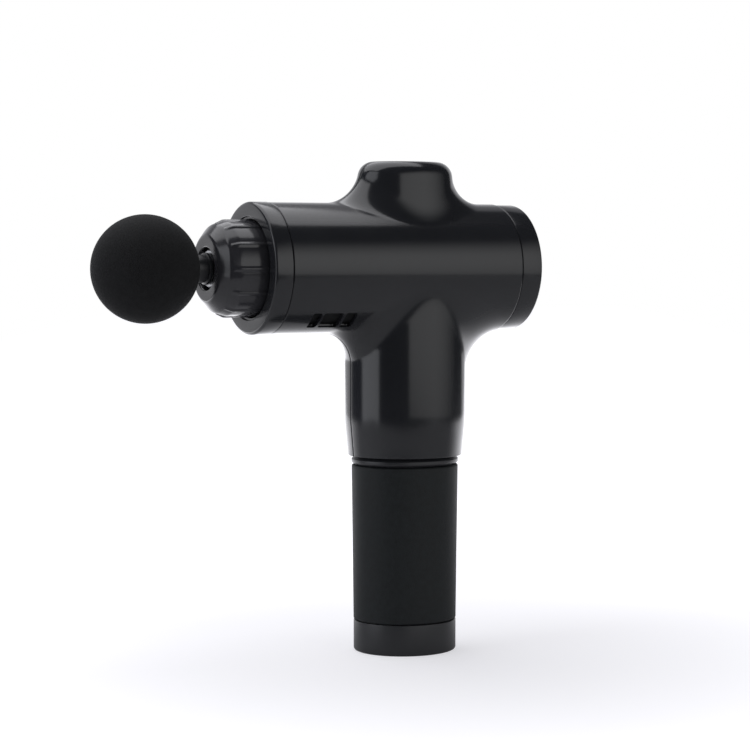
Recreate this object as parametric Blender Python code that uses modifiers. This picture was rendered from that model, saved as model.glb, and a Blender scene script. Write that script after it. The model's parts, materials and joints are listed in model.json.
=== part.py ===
"""Massage gun: percussive massager with a T shaped body.

All sizes are in millimetres and are scaled to metres where a mesh is made.
Frame: +Z up, nose towards -X, the plane y = 0 is the mirror plane.
Origin: the middle of the flat foot, on the axis of the handle.

The handle is the battery pack. The gun body stands on it and lifts off.
A motor with a vertical shaft turns a crank, and the crank drives a cross
slotted yoke, which pushes the massage head along the barrel.
"""
import math

import bmesh
import bpy
from mathutils import Matrix, Vector

MM = 0.001
GAP = 0.3                   # clearance left between neighbouring pieces

# ---- driving dimensions -------------------------------------------------
AXIS_Z = 186.0              # height of the barrel's axis
WALL = 2.2                  # thickness of the moulded shells

BALL_R = 25.0
BALL_X = -135.0

NOSE_FRONT = -105.2
NOSE_REAR = -81.5
NOSE_R = 22.7
NOSE_MOUTH_R = 10.0
RIB_COUNT = 12
RIB_FRONT = -100.3
RIB_REAR = -87.4

BARREL_R = 31.0
RING_FRONT = -83.7          # front face of the barrel
RING_SEAM = -74.7           # joint between the front ring and the housing
REAR_SEAM = 48.5            # joint between the housing and the rear cover
REAR_END = 59.6

NECK_HALF_X = 29.6
NECK_HALF_Y = 28.4
NECK_BOTTOM = 95.3
NECK_FRONT_START, NECK_FRONT_FILLET = 141.0, 18.0
NECK_REAR_START, NECK_REAR_FILLET = 136.0, 26.0

BUMP_TOP = 237.0
DOME_FOOT = 25.6            # half length of the motor dome where it meets the barrel
DOME_TAPER = 0.12           # how much it narrows per mm of height
DOME_OVAL = 5.5             # how much narrower it is across the gun
DOME_EDGE = 6.5             # rounding round its top
DOME_FRONT_FILLET = 18.0
DOME_REAR_FILLET = 14.0

GRIP_BOTTOM = 15.3
GRIP_TOP = 90.7
GRIP_TOP_X, GRIP_TOP_Y = 26.3, 24.0
BASE_HALF_X, BASE_HALF_Y = 25.3, 23.6
BASE_TOP = 15.0
BASE_FLOOR = 3.0
COLLAR_TOP = 95.0

CASE_HALF_X, CASE_HALF_Y = 22.8, 21.0
CASE_WALL = 1.6
CASE_BOTTOM = 13.4
PLUG_HALF_X, PLUG_HALF_Y = 22.0, 19.8   # part of the pack inside the neck
PLUG_TOP = 125.7

CELL_R = 9.0
CELL_LENGTH = 65.0
CELL_BOTTOM = 21.0
CELL_RING_R = 10.7          # distance of each cell from the middle of the three
CELL_SHIFT = 0.6

STROKE = 12.0
CRANK_R = STROKE / 2
ROLLER_R = 4.0
SLOT_PLAY = 1.4             # free space on each side of the roller
ROD_R = 7.0
SOCKET_R = 9.0
SOCKET_BORE = 5.6
STEM_R = 6.5
STEM_PLUG_R = 5.2
SHAFT_R = 2.5
BELL_R = 15.8
BELL_WALL = 1.3
MAGNET_THICK = 1.0

SCREW_SPOTS = [(-64.0, 203.0), (-64.0, 169.0), (38.0, 204.0), (0.0, 146.0)]
SCREW_HEAD_R = 2.7
SCREW_SHANK_R = 1.3
SCREW_SEAT_Y = 9.0
BOSS_R = 4.7
VENTS = [(-60.5, -55.8), (-54.7, -44.8), (-43.2, -37.4)]
VENT_BOTTOM, VENT_TOP = 158.4, 165.2

BUTTON_R = 6.0
PANEL_R = 25.1
ROCKER_X = -11.0
ROCKER_AXIS_Z = 3.6
ROCKER_TILT = math.radians(-8)
JACK_Z = 8.2
WINDOW_Z = 104.0            # middle of the release button's window

MATERIALS = {
    "shell": ((0.030, 0.031, 0.036), 0.22, 0.0),
    "nose": ((0.045, 0.045, 0.052), 0.24, 0.0),
    "satin": ((0.034, 0.035, 0.040), 0.42, 0.0),
    "foam": ((0.011, 0.012, 0.013), 0.85, 0.0),
    "grip": ((0.014, 0.017, 0.018), 0.70, 0.0),
    "rubber": ((0.020, 0.020, 0.021), 0.75, 0.0),
    "nylon": ((0.62, 0.61, 0.57), 0.55, 0.0),
    "aluminium": ((0.70, 0.71, 0.73), 0.35, 1.0),
    "steel": ((0.56, 0.57, 0.59), 0.28, 1.0),
    "brass": ((0.78, 0.60, 0.26), 0.30, 1.0),
    "magnet": ((0.16, 0.16, 0.17), 0.40, 1.0),
    "board": ((0.02, 0.16, 0.09), 0.50, 0.0),
    "cell": ((0.05, 0.22, 0.42), 0.40, 0.0),
    "lens": ((0.80, 0.84, 0.86), 0.15, 0.0),
}


# ---- scene ---------------------------------------------------------------
def clear_scene():
    for old in list(bpy.data.objects):
        bpy.data.objects.remove(old, do_unlink=True)


def new_collection(name):
    collection = bpy.data.collections.new(name)
    bpy.context.scene.collection.children.link(collection)
    return collection


def make_material(name, colour, roughness, metallic):
    material = bpy.data.materials.new(name)
    material.use_nodes = True
    shader = material.node_tree.nodes["Principled BSDF"]
    shader.inputs["Base Color"].default_value = (*colour, 1.0)
    shader.inputs["Roughness"].default_value = roughness
    shader.inputs["Metallic"].default_value = metallic
    material.diffuse_color = (*colour, 1.0)
    return material


clear_scene()
PARTS = new_collection("massage_gun")
TOOLS = new_collection("cutters")
MATERIAL = {key: make_material(key, *look) for key, look in MATERIALS.items()}


# ---- building blocks -----------------------------------------------------
def place(name, data, material):
    """Add an object: a part when it has a material, otherwise a tool."""
    thing = bpy.data.objects.new(name, data)
    if material:
        PARTS.objects.link(thing)
        data.materials.append(MATERIAL[material])
    else:
        TOOLS.objects.link(thing)
        thing.hide_render = True
        thing.display_type = "WIRE"
    return thing


def smooth(mesh, degrees=35):
    mesh.shade_smooth()
    mesh.set_sharp_from_angle(angle=math.radians(degrees))


AXIS_TURN = {
    "X": Matrix.Rotation(math.radians(90), 4, "Y"),
    "Y": Matrix.Rotation(math.radians(-90), 4, "X"),
    "Z": Matrix.Identity(4),
}


def turned(name, profile, material=None, axis="Z", at=(0, 0, 0), steps=32):
    """Turn a profile of (radius, position along the axis) points.

    A profile that starts and ends at radius 0 is a solid of revolution,
    and any other one is closed into a ring.
    """
    ends_on_axis = profile[0][0] == 0 and profile[-1][0] == 0
    pairs = zip(profile, profile[1:] + profile[:1])
    area = sum(a[0] * b[1] - b[0] * a[1] for a, b in pairs)
    points = profile if area < 0 else profile[::-1]
    mesh = bpy.data.meshes.new(name)
    count = len(points)
    edges = [(i, i + 1) for i in range(count - 1)]
    if not ends_on_axis:
        edges.append((count - 1, 0))
    verts = [(radius * MM, 0, along * MM) for radius, along in points]
    mesh.from_pydata(verts, edges, [])
    thing = place(name, mesh, material)
    screw = thing.modifiers.new("turn", "SCREW")
    screw.axis = "Z"
    screw.angle = math.tau
    screw.steps = steps
    screw.render_steps = steps
    screw.use_merge_vertices = True
    screw.merge_threshold = 0.00001
    screw.use_smooth_shade = True
    shift = Matrix.Translation(Vector(at) * MM)
    thing.matrix_world = shift @ AXIS_TURN[axis]
    return thing


def rod(name, radius, start, end, material=None, axis="Z", at=(0, 0, 0), steps=20):
    profile = [(0, end), (radius, end), (radius, start), (0, start)]
    return turned(name, profile, material, axis, at, steps)


def tube(name, outer, inner, start, end, material=None, axis="Z", at=(0, 0, 0), steps=20):
    profile = [(inner, end), (outer, end), (outer, start), (inner, start)]
    return turned(name, profile, material, axis, at, steps)


def box(name, size, centre, material=None, bevel=0.0):
    mesh = bpy.data.meshes.new(name)
    shape = bmesh.new()
    bmesh.ops.create_cube(shape, size=1.0)
    bmesh.ops.scale(shape, vec=Vector(size) * MM, verts=shape.verts)
    shape.to_mesh(mesh)
    shape.free()
    thing = place(name, mesh, material)
    thing.location = Vector(centre) * MM
    if bevel:
        edge = thing.modifiers.new("rounded edges", "BEVEL")
        edge.width = bevel * MM
        edge.segments = 2
    return thing


def span_box(name, low, high, material=None, bevel=0.0):
    size = [b - a for a, b in zip(low, high)]
    centre = [(a + b) / 2 for a, b in zip(low, high)]
    return box(name, size, centre, material, bevel)


def oval_loft(name, sections, material=None, count=36):
    """Loft through horizontal ovals, each (z, middle x, half x, half y)."""
    mesh = bpy.data.meshes.new(name)
    shape = bmesh.new()
    rings = []
    for z, middle, half_x, half_y in sections:
        ring = []
        for i in range(count):
            turn = math.tau * (i + 0.5) / count
            spot = (middle + half_x * math.cos(turn), half_y * math.sin(turn), z)
            ring.append(shape.verts.new(Vector(spot) * MM))
        rings.append(ring)
    for low, high in zip(rings, rings[1:]):
        for i in range(count):
            j = (i + 1) % count
            shape.faces.new((low[i], low[j], high[j], high[i]))
    shape.faces.new(rings[0][::-1])
    shape.faces.new(rings[-1])
    bmesh.ops.triangulate(shape, faces=shape.faces)
    shape.to_mesh(mesh)
    shape.free()
    smooth(mesh)
    return place(name, mesh, material)


def oval_tube(name, bottom, top, outer_low, outer_high, inner, material):
    """An upright oval sleeve with a straight bore."""
    sleeve = oval_loft(name, [(bottom, 0, *outer_low), (top, 0, *outer_high)], material)
    bore = oval_loft(name + "_bore", [(bottom - 5, 0, *inner), (top + 5, 0, *inner)])
    cut(sleeve, bore)
    return sleeve


def combine(thing, tool, operation):
    step = thing.modifiers.new(operation.lower(), "BOOLEAN")
    step.operation = operation
    step.object = tool
    return thing


def cut(thing, *tools):
    for tool in tools:
        combine(thing, tool, "DIFFERENCE")
    return thing


def join(thing, *tools):
    for tool in tools:
        combine(thing, tool, "UNION")
    return thing


def keep(thing, tool):
    return combine(thing, tool, "INTERSECT")


def use_manifold_cuts(thing):
    """For thin walls with many openings, where the exact solver leaves slits."""
    for step in thing.modifiers:
        if step.type == "BOOLEAN":
            step.solver = "MANIFOLD"


def dissolve_flats(thing):
    """Merge the slivers that the cuts left and join faces that lie in one plane."""
    merge = thing.modifiers.new("merge slivers", "WELD")
    merge.merge_threshold = 0.00003
    flat = thing.modifiers.new("join flat faces", "DECIMATE")
    flat.decimate_type = "DISSOLVE"
    flat.angle_limit = math.radians(0.2)


def coil(name, radius, wire, start, end, turns, axis, at, material):
    """A compression spring of round wire, wound along an axis."""
    steps_per_turn = 9
    total = turns * steps_per_turn
    curve = bpy.data.curves.new(name, "CURVE")
    curve.dimensions = "3D"
    curve.bevel_depth = wire * MM
    curve.bevel_resolution = 1
    curve.use_fill_caps = True
    line = curve.splines.new("POLY")
    line.points.add(total)
    for i in range(total + 1):
        turn = math.tau * i / steps_per_turn
        along = start + (end - start) * i / total
        spot = Vector((radius * math.cos(turn), radius * math.sin(turn), along)) * MM
        line.points[i].co = (*spot, 1.0)
    thing = place(name, curve, material)
    thing.matrix_world = Matrix.Translation(Vector(at) * MM) @ AXIS_TURN[axis]
    return thing


# ---- battery pack (the handle) --------------------------------------------
def battery_case():
    shell = oval_loft("battery_case", [
        (CASE_BOTTOM, 0, CASE_HALF_X, CASE_HALF_Y),
        (NECK_BOTTOM - 0.2, 0, CASE_HALF_X, CASE_HALF_Y),
        (NECK_BOTTOM, 0, PLUG_HALF_X, PLUG_HALF_Y),
        (PLUG_TOP - 1.5, 0, PLUG_HALF_X, PLUG_HALF_Y),
        (PLUG_TOP, 0, PLUG_HALF_X - 1.5, PLUG_HALF_Y - 1.5)], "satin")
    inner_x, inner_y = CASE_HALF_X - CASE_WALL, CASE_HALF_Y - CASE_WALL
    step_z = NECK_BOTTOM - 1.6
    hollow = oval_loft("case_hollow", [
        (CASE_BOTTOM - 5, 0, inner_x, inner_y), (step_z, 0, inner_x, inner_y),
        (step_z + 0.6, 0, PLUG_HALF_X - CASE_WALL, PLUG_HALF_Y - CASE_WALL),
        (PLUG_TOP - CASE_WALL, 0, PLUG_HALF_X - CASE_WALL, PLUG_HALF_Y - CASE_WALL)])
    cut(shell, hollow)


def cell_spots():
    """Middles of the cells: a triangle with one cell towards the rear."""
    for i in range(3):
        turn = math.tau * i / 3
        yield CELL_RING_R * math.cos(turn) + CELL_SHIFT, CELL_RING_R * math.sin(turn)


def cells():
    top = CELL_BOTTOM + CELL_LENGTH
    for i, (x, y) in enumerate(cell_spots(), 1):
        profile = [(0, top), (3.0, top), (3.0, top - 1), (CELL_R - 0.5, top - 1), (CELL_R, top - 1.5),
                   (CELL_R, CELL_BOTTOM + 0.5), (CELL_R - 0.5, CELL_BOTTOM), (0, CELL_BOTTOM)]
        turned(f"battery_cell_{i}", profile, "cell", at=(x, y, 0), steps=24)


def cell_holder(name, bottom, thickness):
    plate = oval_loft(name, [(bottom, 0, CASE_HALF_X - 2, CASE_HALF_Y - 2),
                             (bottom + thickness, 0, CASE_HALF_X - 2, CASE_HALF_Y - 2)], "nylon")
    for i, (x, y) in enumerate(cell_spots(), 1):
        cut(plate, rod(f"{name}_hole_{i}", 4.5, bottom - 5, bottom + thickness + 5, at=(x, y, 0), steps=12))
    dissolve_flats(plate)
    return plate


BASE_SCREW_Y = 15.6


def battery_inside():
    holder_thickness = 2.6
    holder_bottom = CELL_BOTTOM - GAP - holder_thickness
    plate = cell_holder("cell_holder_bottom", holder_bottom, holder_thickness)
    for side in (-1, 1):
        hole = rod(f"holder_pilot_{side + 2}", SCREW_SHANK_R + GAP, holder_bottom - 5, CELL_BOTTOM + 5,
                   at=(CELL_SHIFT, side * BASE_SCREW_Y, 0), steps=12)
        cut(plate, hole)
    cell_top = CELL_BOTTOM + CELL_LENGTH
    cell_holder("cell_holder_top", cell_top + GAP, holder_thickness)
    strip_z = cell_top + 2 * GAP + holder_thickness
    strip = oval_loft("cell_strip", [(strip_z, 0, 15, 13), (strip_z + 0.5, 0, 15, 13)], "steel", 24)
    cut(strip, rod("strip_hole", 4.0, strip_z - 3, strip_z + 3))
    board_z = strip_z + 4
    oval_loft("battery_board", [(board_z, 0, 18.5, 16.5), (board_z + 1.6, 0, 18.5, 16.5)], "board", 28)


def battery_contacts():
    for name, y in (("contact_plus", 7.0), ("contact_minus", -7.0)):
        span_box(name, (-5, y - 2, PLUG_TOP + GAP), (5, y + 2, PLUG_TOP + GAP + 0.8), "brass")


def grip():
    low = (BASE_HALF_X + 0.1, BASE_HALF_Y)
    bore = (CASE_HALF_X + GAP, CASE_HALF_Y + GAP)
    oval_tube("grip_sleeve", GRIP_BOTTOM, GRIP_TOP, low, (GRIP_TOP_X, GRIP_TOP_Y), bore, "grip")
    ring = oval_loft("grip_collar", [
        (GRIP_TOP + GAP, 0, GRIP_TOP_X - 0.4, GRIP_TOP_Y - 0.4),
        (GRIP_TOP + 1.6, 0, GRIP_TOP_X + 0.1, GRIP_TOP_Y + 0.1),
        (COLLAR_TOP - 1.6, 0, GRIP_TOP_X + 0.1, GRIP_TOP_Y + 0.1),
        (COLLAR_TOP, 0, GRIP_TOP_X - 1.4, GRIP_TOP_Y - 1.4)], "satin")
    cut(ring, oval_loft("collar_bore", [(GRIP_TOP - 5, 0, *bore), (COLLAR_TOP + 5, 0, *bore)]))


def base_cap():
    cap = oval_loft("base_cap", [
        (0, 0, BASE_HALF_X - 1.4, BASE_HALF_Y - 1.4),
        (0.4, 0, BASE_HALF_X - 0.5, BASE_HALF_Y - 0.5),
        (1.4, 0, BASE_HALF_X, BASE_HALF_Y),
        (BASE_TOP, 0, BASE_HALF_X, BASE_HALF_Y)], "satin")
    inner = (CASE_HALF_X + GAP, CASE_HALF_Y + GAP)
    cut(cap, oval_loft("cap_hollow", [(BASE_FLOOR, 0, *inner), (BASE_TOP + 5, 0, *inner)]))
    cut(cap, span_box("rocker_window", (ROCKER_X - 7.8, -5.3, -5), (ROCKER_X + 7.8, 5.3, BASE_FLOOR + 1)))
    cut(cap, rod("jack_window", 4.9, 18, 30, axis="X", at=(0, 0, JACK_Z), steps=28))
    cut(cap, rod("light_window", 1.7, 18, 30, axis="X", at=(0, 9.0, JACK_Z), steps=16))
    for side in (-1, 1):
        spot = (CELL_SHIFT, side * BASE_SCREW_Y, 0)
        cut(cap, rod(f"foot_sink_{side + 2}", SCREW_HEAD_R + GAP, -3, 2.0, at=spot, steps=16))
        cut(cap, rod(f"foot_hole_{side + 2}", SCREW_SHANK_R + GAP, 1, 8, at=spot, steps=16))
    use_manifold_cuts(cap)
    dissolve_flats(cap)


def base_fittings():
    for i, side in enumerate((-1, 1), 1):
        profile = [(0, 20.4), (SCREW_SHANK_R, 20.4), (SCREW_SHANK_R, 1.7), (SCREW_HEAD_R, 1.7),
                   (SCREW_HEAD_R, 0.5), (0, 0.5)]
        turned(f"base_screw_{i}", profile, "steel", at=(CELL_SHIFT, side * BASE_SCREW_Y, 0), steps=16)
    profile = [(0, 15.0), (4.6, 15.0), (4.6, 24.7), (3.2, 24.7), (3.2, 17.0), (0, 17.0)]
    turned("charge_socket", profile, "rubber", axis="X", at=(0, 0, JACK_Z), steps=28)
    rod("charge_light", 1.4, 19.5, 23.2, "lens", axis="X", at=(0, 9.0, JACK_Z), steps=16)


def rocker_switch():
    """Main switch under the foot: a frame and a rocker that tips about Y."""
    frame = span_box("rocker_frame", (ROCKER_X - 7.5, -5.0, 0.6), (ROCKER_X + 7.5, 5.0, 9.6), "rubber")
    cut(frame, span_box("rocker_well", (ROCKER_X - 6.6, -4.1, -2), (ROCKER_X + 6.6, 4.1, 6.6)))
    mesh = bpy.data.meshes.new("power_rocker")
    shape = bmesh.new()
    half_length, lower, upper = 6.0, 1.7, 5.2
    outline = [(-half_length, lower), (0, lower + 0.8), (half_length, lower),
               (half_length * 0.9, upper - 0.8), (0, upper), (-half_length * 0.9, upper - 0.8)]
    corners = [shape.verts.new(Vector((x, -3.8, z - ROCKER_AXIS_Z)) * MM) for x, z in outline]
    face = shape.faces.new(corners)
    pushed = bmesh.ops.extrude_face_region(shape, geom=[face])
    moved = [v for v in pushed["geom"] if isinstance(v, bmesh.types.BMVert)]
    bmesh.ops.translate(shape, vec=Vector((0, 7.6, 0)) * MM, verts=moved)
    bmesh.ops.recalc_face_normals(shape, faces=shape.faces)
    shape.to_mesh(mesh)
    shape.free()
    rocker = place("power_rocker", mesh, "rubber")
    rocker.location = Vector((ROCKER_X, 0, ROCKER_AXIS_Z)) * MM
    rocker.rotation_euler = (0, ROCKER_TILT, 0)


# ---- gun body: housing -----------------------------------------------------
FLARE_END = 0.965             # share of a fillet's rise that is followed before it is cut off


def flare(rise, radius):
    """How far a fillet of this radius has spread once it has risen this much."""
    rise = min(max(rise, 0), FLARE_END * radius)
    return radius - math.sqrt(radius ** 2 - rise ** 2)


def neck_sections(inset, bottom):
    """Ovals of the neck: tapered foot, straight middle, fillets under the barrel."""
    sections = [(z, 0, NECK_HALF_X - drawn_in - inset, NECK_HALF_Y - drawn_in - inset)
                for z, drawn_in in ((bottom, 1.5), (104.0, 0.6), (112.0, 0), (NECK_REAR_START, 0))]
    for z in (142.0, 147.0, 151.0, 154.5, 158.0):
        front = flare(z - NECK_FRONT_START, NECK_FRONT_FILLET)
        rear = flare(z - NECK_REAR_START, NECK_REAR_FILLET)
        half = NECK_HALF_X + (front + rear) / 2
        sections.append((z, (rear - front) / 2, half - inset, NECK_HALF_Y - inset))
    last = sections[-1]
    sections.append((176.0, *last[1:]))
    return sections


def bump_sections(inset):
    """Ovals of the motor dome: fillets out of the barrel, steep wall, rounded top."""
    crown = AXIS_Z + BARREL_R
    sections = [(205.0, 2.0, 37.0 - inset, 23.4 - inset),
                (213.5, 2.0, 40.0 - inset, 21.0 - inset)]
    for z in (217.8, 219.9, 222.8, 225.7, 228.6):
        wall = DOME_FOOT - DOME_TAPER * (z - crown) - inset
        front = flare(crown + DOME_FRONT_FILLET - z, DOME_FRONT_FILLET)
        rear = flare(crown + DOME_REAR_FILLET - z, DOME_REAR_FILLET)
        sections.append((z, (rear - front) / 2, wall + (front + rear) / 2, wall - DOME_OVAL))
    edge = DOME_EDGE - inset
    for turn in (0, 28, 50, 70, 90):
        rise = edge * math.sin(math.radians(turn))
        drawn_in = edge * (1 - math.cos(math.radians(turn)))
        z = BUMP_TOP - DOME_EDGE + rise
        front = flare(crown + DOME_FRONT_FILLET - z, DOME_FRONT_FILLET)
        wall = DOME_FOOT - DOME_TAPER * (z - crown) - inset - drawn_in
        sections.append((z, -front / 2, wall + front / 2, wall - DOME_OVAL))
    return sections


def envelope(name, inset, overrun, material=None):
    """Barrel, neck and motor dome as one solid, drawn in by the inset."""
    sides = 36
    solid = rod(name, BARREL_R - inset, RING_SEAM + GAP - overrun, REAR_SEAM - GAP + overrun, material,
                axis="X", at=(0, 0, AXIS_Z), steps=sides)
    solid.matrix_world = solid.matrix_world @ Matrix.Rotation(math.pi / sides, 4, "Z")
    return join(solid, oval_loft(name + "_neck", neck_sections(inset, NECK_BOTTOM - overrun), count=32),
                oval_loft(name + "_dome", bump_sections(inset), count=32))


def housing_hollow():
    """Inside of the gun body, less the screw bosses that cross it."""
    hollow = envelope("hollow", WALL, 8)
    for i, (x, z) in enumerate(SCREW_SPOTS, 1):
        cut(hollow, rod(f"boss_{i}", BOSS_R, -45, 45, axis="Y", at=(x, 0, z), steps=16))
    return hollow


def housing_cutters():
    """Openings that the two halves share: screw holes, vents, release window."""
    tools = []
    for i, (x, z) in enumerate(SCREW_SPOTS, 1):
        hole_r, sink_r = SCREW_SHANK_R + GAP, SCREW_HEAD_R + GAP
        profile = [(0, 45), (sink_r, 45), (sink_r, SCREW_SEAT_Y), (hole_r, SCREW_SEAT_Y), (hole_r, -12),
                   (0, -12)]
        tools.append(turned(f"screw_hole_{i}", profile, axis="Y", at=(x, 0, z), steps=16))
    for side in (-1, 1):
        for start, end in VENTS:
            low_y, high_y = sorted((side * 10, side * 40))
            tools.append(span_box(f"vent_{side + 2}_{int(-start)}", (start, low_y, VENT_BOTTOM),
                                  (end, high_y, VENT_TOP)))
    tools.append(span_box("release_window", (24, -4.5, WINDOW_Z - 6), (36, 4.5, WINDOW_Z + 6)))
    return tools


def housing_half(name, side, hollow, tools):
    """One moulded half of the gun body: side -1 is at -Y, side +1 at +Y."""
    low_y, high_y = sorted((side * GAP / 2, side * 60))
    half = envelope(name, 0, 0, "shell")
    cut(half, hollow, *tools)
    keep(half, span_box(name + "_side", (-120, low_y, 60), (120, high_y, 260)))
    use_manifold_cuts(half)
    dissolve_flats(half)


def housing_screws():
    for i, (x, z) in enumerate(SCREW_SPOTS, 1):
        seat = SCREW_SEAT_Y + GAP
        profile = [(0, -11), (SCREW_SHANK_R, -11), (SCREW_SHANK_R, seat), (SCREW_HEAD_R, seat),
                   (SCREW_HEAD_R, seat + 2), (0, seat + 2)]
        turned(f"housing_screw_{i}", profile, "steel", axis="Y", at=(x, 0, z), steps=16)


def front_ring():
    outer = BARREL_R + 0.2
    spigot = BARREL_R - WALL - 0.4
    profile = [(NOSE_R + 0.5, RING_FRONT + 0.6), (NOSE_R + 1.1, RING_FRONT), (outer - 1.6, RING_FRONT),
               (outer - 0.45, RING_FRONT + 0.45), (outer, RING_FRONT + 1.6), (outer, RING_SEAM),
               (spigot, RING_SEAM), (spigot, RING_SEAM + 3.6), (spigot - 2, RING_SEAM + 3.6),
               (spigot - 2, RING_FRONT + 3), (NOSE_R + 0.5, RING_FRONT + 3)]
    turned("front_ring", profile, "shell", axis="X", at=(0, 0, AXIS_Z), steps=36)


def nose_collar():
    inner = NOSE_R - 2.6
    profile = [(NOSE_MOUTH_R, NOSE_FRONT + 0.8), (NOSE_MOUTH_R + 0.7, NOSE_FRONT),
               (14.6, NOSE_FRONT), (16.6, NOSE_FRONT + 0.6), (18.6, NOSE_FRONT + 2.2),
               (20.8, NOSE_FRONT + 4.8), (22.2, NOSE_FRONT + 7.0), (NOSE_R - 0.3, NOSE_FRONT + 9.2),
               (NOSE_R - 0.3, NOSE_REAR), (inner, NOSE_REAR), (inner, NOSE_FRONT + 6.5),
               (16.0, NOSE_FRONT + 3.2), (NOSE_MOUTH_R, NOSE_FRONT + 3.0)]
    collar = turned("nose_collar", profile, "nose", axis="X", at=(0, 0, AXIS_Z), steps=36)
    for i in range(RIB_COUNT):
        turn = math.tau * i / RIB_COUNT
        rib = box(f"rib_{i + 1}", (RIB_REAR - RIB_FRONT, 1.8, 3.0), (0, 0, 0))
        out = Vector(((RIB_REAR + RIB_FRONT) / 2, 0, NOSE_R - 1.45)) * MM
        rib.matrix_world = (Matrix.Translation(Vector((0, 0, AXIS_Z)) * MM)
                            @ Matrix.Rotation(turn, 4, "X") @ Matrix.Translation(out))
        join(collar, rib)
    dissolve_flats(collar)


def rear_cover():
    outer = BARREL_R - 0.4
    lip = PANEL_R + GAP
    profile = [(outer - WALL, REAR_SEAM), (outer, REAR_SEAM), (outer, REAR_END - 2.4),
               (outer - 0.6, REAR_END - 0.9), (outer - 2.0, REAR_END), (lip, REAR_END),
               (lip, REAR_END - 2.4), (lip - 3.5, REAR_END - 2.4), (lip - 3.5, REAR_END - 4.0),
               (outer - WALL, REAR_END - 4.0)]
    turned("rear_cover", profile, "shell", axis="X", at=(0, 0, AXIS_Z), steps=36)


LIGHT_R = 1.5
LIGHT_SPOTS = [(-7.0, 13.0), (0.0, 15.0), (7.0, 13.0)]


def control_panel():
    front, back = REAR_END - 2.1, REAR_END - 0.6
    panel = tube("control_panel", PANEL_R, BUTTON_R + GAP + 0.1, front, back, "satin", axis="X",
                 at=(0, 0, AXIS_Z), steps=36)
    for i, (y, z) in enumerate(LIGHT_SPOTS, 1):
        spot = (0, y, AXIS_Z + z)
        cut(panel, rod(f"light_hole_{i}", LIGHT_R + GAP, front - 3, back + 3, axis="X", at=spot, steps=16))
        rod(f"speed_light_{i}", LIGHT_R, front - 2.5, back, "lens", axis="X", at=spot, steps=16)
    turned("power_button", [(0, REAR_END - 4.6), (BUTTON_R + 1.6, REAR_END - 4.6),
                            (BUTTON_R + 1.6, REAR_END - 3.4), (BUTTON_R, REAR_END - 3.4),
                            (BUTTON_R, REAR_END - 0.1), (BUTTON_R - 0.6, REAR_END + 0.4),
                            (0, REAR_END + 0.4)], "rubber", axis="X", at=(0, 0, AXIS_Z), steps=28)
    board = REAR_SEAM - 4
    rod("control_board", 24.0, board, board + 1.6, "board", axis="X", at=(0, 0, AXIS_Z), steps=32)
    coil("button_spring", 3.2, 0.3, board + 2.2, REAR_END - 5.2, 5, "X", (0, 0, AXIS_Z), "steel")


# ---- gun body: inside --------------------------------------------------------
PLATE_BOTTOM = 200.6
PLATE_TOP = 203.4
WALL_FRONT, WALL_BACK = -34.0, -30.0
GUIDE_R = 10.2


def motor_frame():
    """Bracket that holds the motor above and the piston's guide in front."""
    frame = span_box("motor_frame", (WALL_FRONT, -19, PLATE_BOTTOM), (21, 19, PLATE_TOP), "aluminium")
    join(frame, span_box("frame_wall", (WALL_FRONT, -19, 172), (WALL_BACK, 19, PLATE_TOP - 0.5)),
         rod("frame_hub", 6.9, PLATE_BOTTOM + 1, 224))
    cut(frame, rod("frame_bore", 5.3, PLATE_TOP, 230), rod("frame_hole", SHAFT_R + 0.9, 190, 210),
        rod("guide_bore", GUIDE_R + GAP, -45, -20, axis="X", at=(0, 0, AXIS_Z), steps=32))


def bearings():
    tube("lower_bearing", 5.0, SHAFT_R + GAP, PLATE_TOP + GAP, PLATE_TOP + 4.3, "steel", steps=24)
    tube("upper_bearing", 5.0, SHAFT_R + GAP, 219.5, 223.5, "steel", steps=24)
    tube("piston_guide", GUIDE_R, ROD_R + GAP, -60, -28, "nylon", axis="X", at=(0, 0, AXIS_Z), steps=32)
    tube("damper_ring", GUIDE_R + 4, GUIDE_R + GAP, -41, WALL_FRONT - GAP, "rubber", axis="X",
         at=(0, 0, AXIS_Z), steps=32)


STATOR_BOTTOM, STATOR_TOP = 208.0, 221.0
TEETH = 9


def stator():
    outer = BELL_R - BELL_WALL - GAP - MAGNET_THICK - GAP
    core = tube("stator_core", outer, 7.2, STATOR_BOTTOM, STATOR_TOP, "steel", steps=36)
    slot_depth, slot_width = 3.7, 2.4
    for i in range(TEETH):
        turn = math.tau * i / TEETH
        size = (2 * slot_depth, slot_width, 2 * (STATOR_TOP - STATOR_BOTTOM))
        slot = box(f"stator_slot_{i + 1}", size, (0, 0, 0))
        slot.matrix_world = (Matrix.Rotation(turn, 4, "Z")
                             @ Matrix.Translation(Vector((outer, 0, (STATOR_BOTTOM + STATOR_TOP) / 2)) * MM))
        cut(core, slot)


def boards_and_contacts():
    span_box("motor_board", (-22, -15, 166), (30, 15, 167.6), "board")
    block_z = PLUG_TOP + 3.4
    span_box("contact_block", (-13, -11, block_z), (13, 11, block_z + 8), "nylon", 0.8)
    for name, y in (("spring_pin_plus", 7.0), ("spring_pin_minus", -7.0)):
        rod(name, 1.5, PLUG_TOP + 1.4, block_z - GAP, "brass", at=(0, y, 0), steps=16)


def release_button():
    """Latch key at the back of the neck that frees the battery pack."""
    key = span_box("release_button", (23.4, -6, WINDOW_Z - 8), (24.9, 6, WINDOW_Z + 8), "rubber")
    join(key, span_box("release_pad", (24, -4, WINDOW_Z - 5.5), (29.8, 4, WINDOW_Z + 5.5), bevel=0.6))


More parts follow.
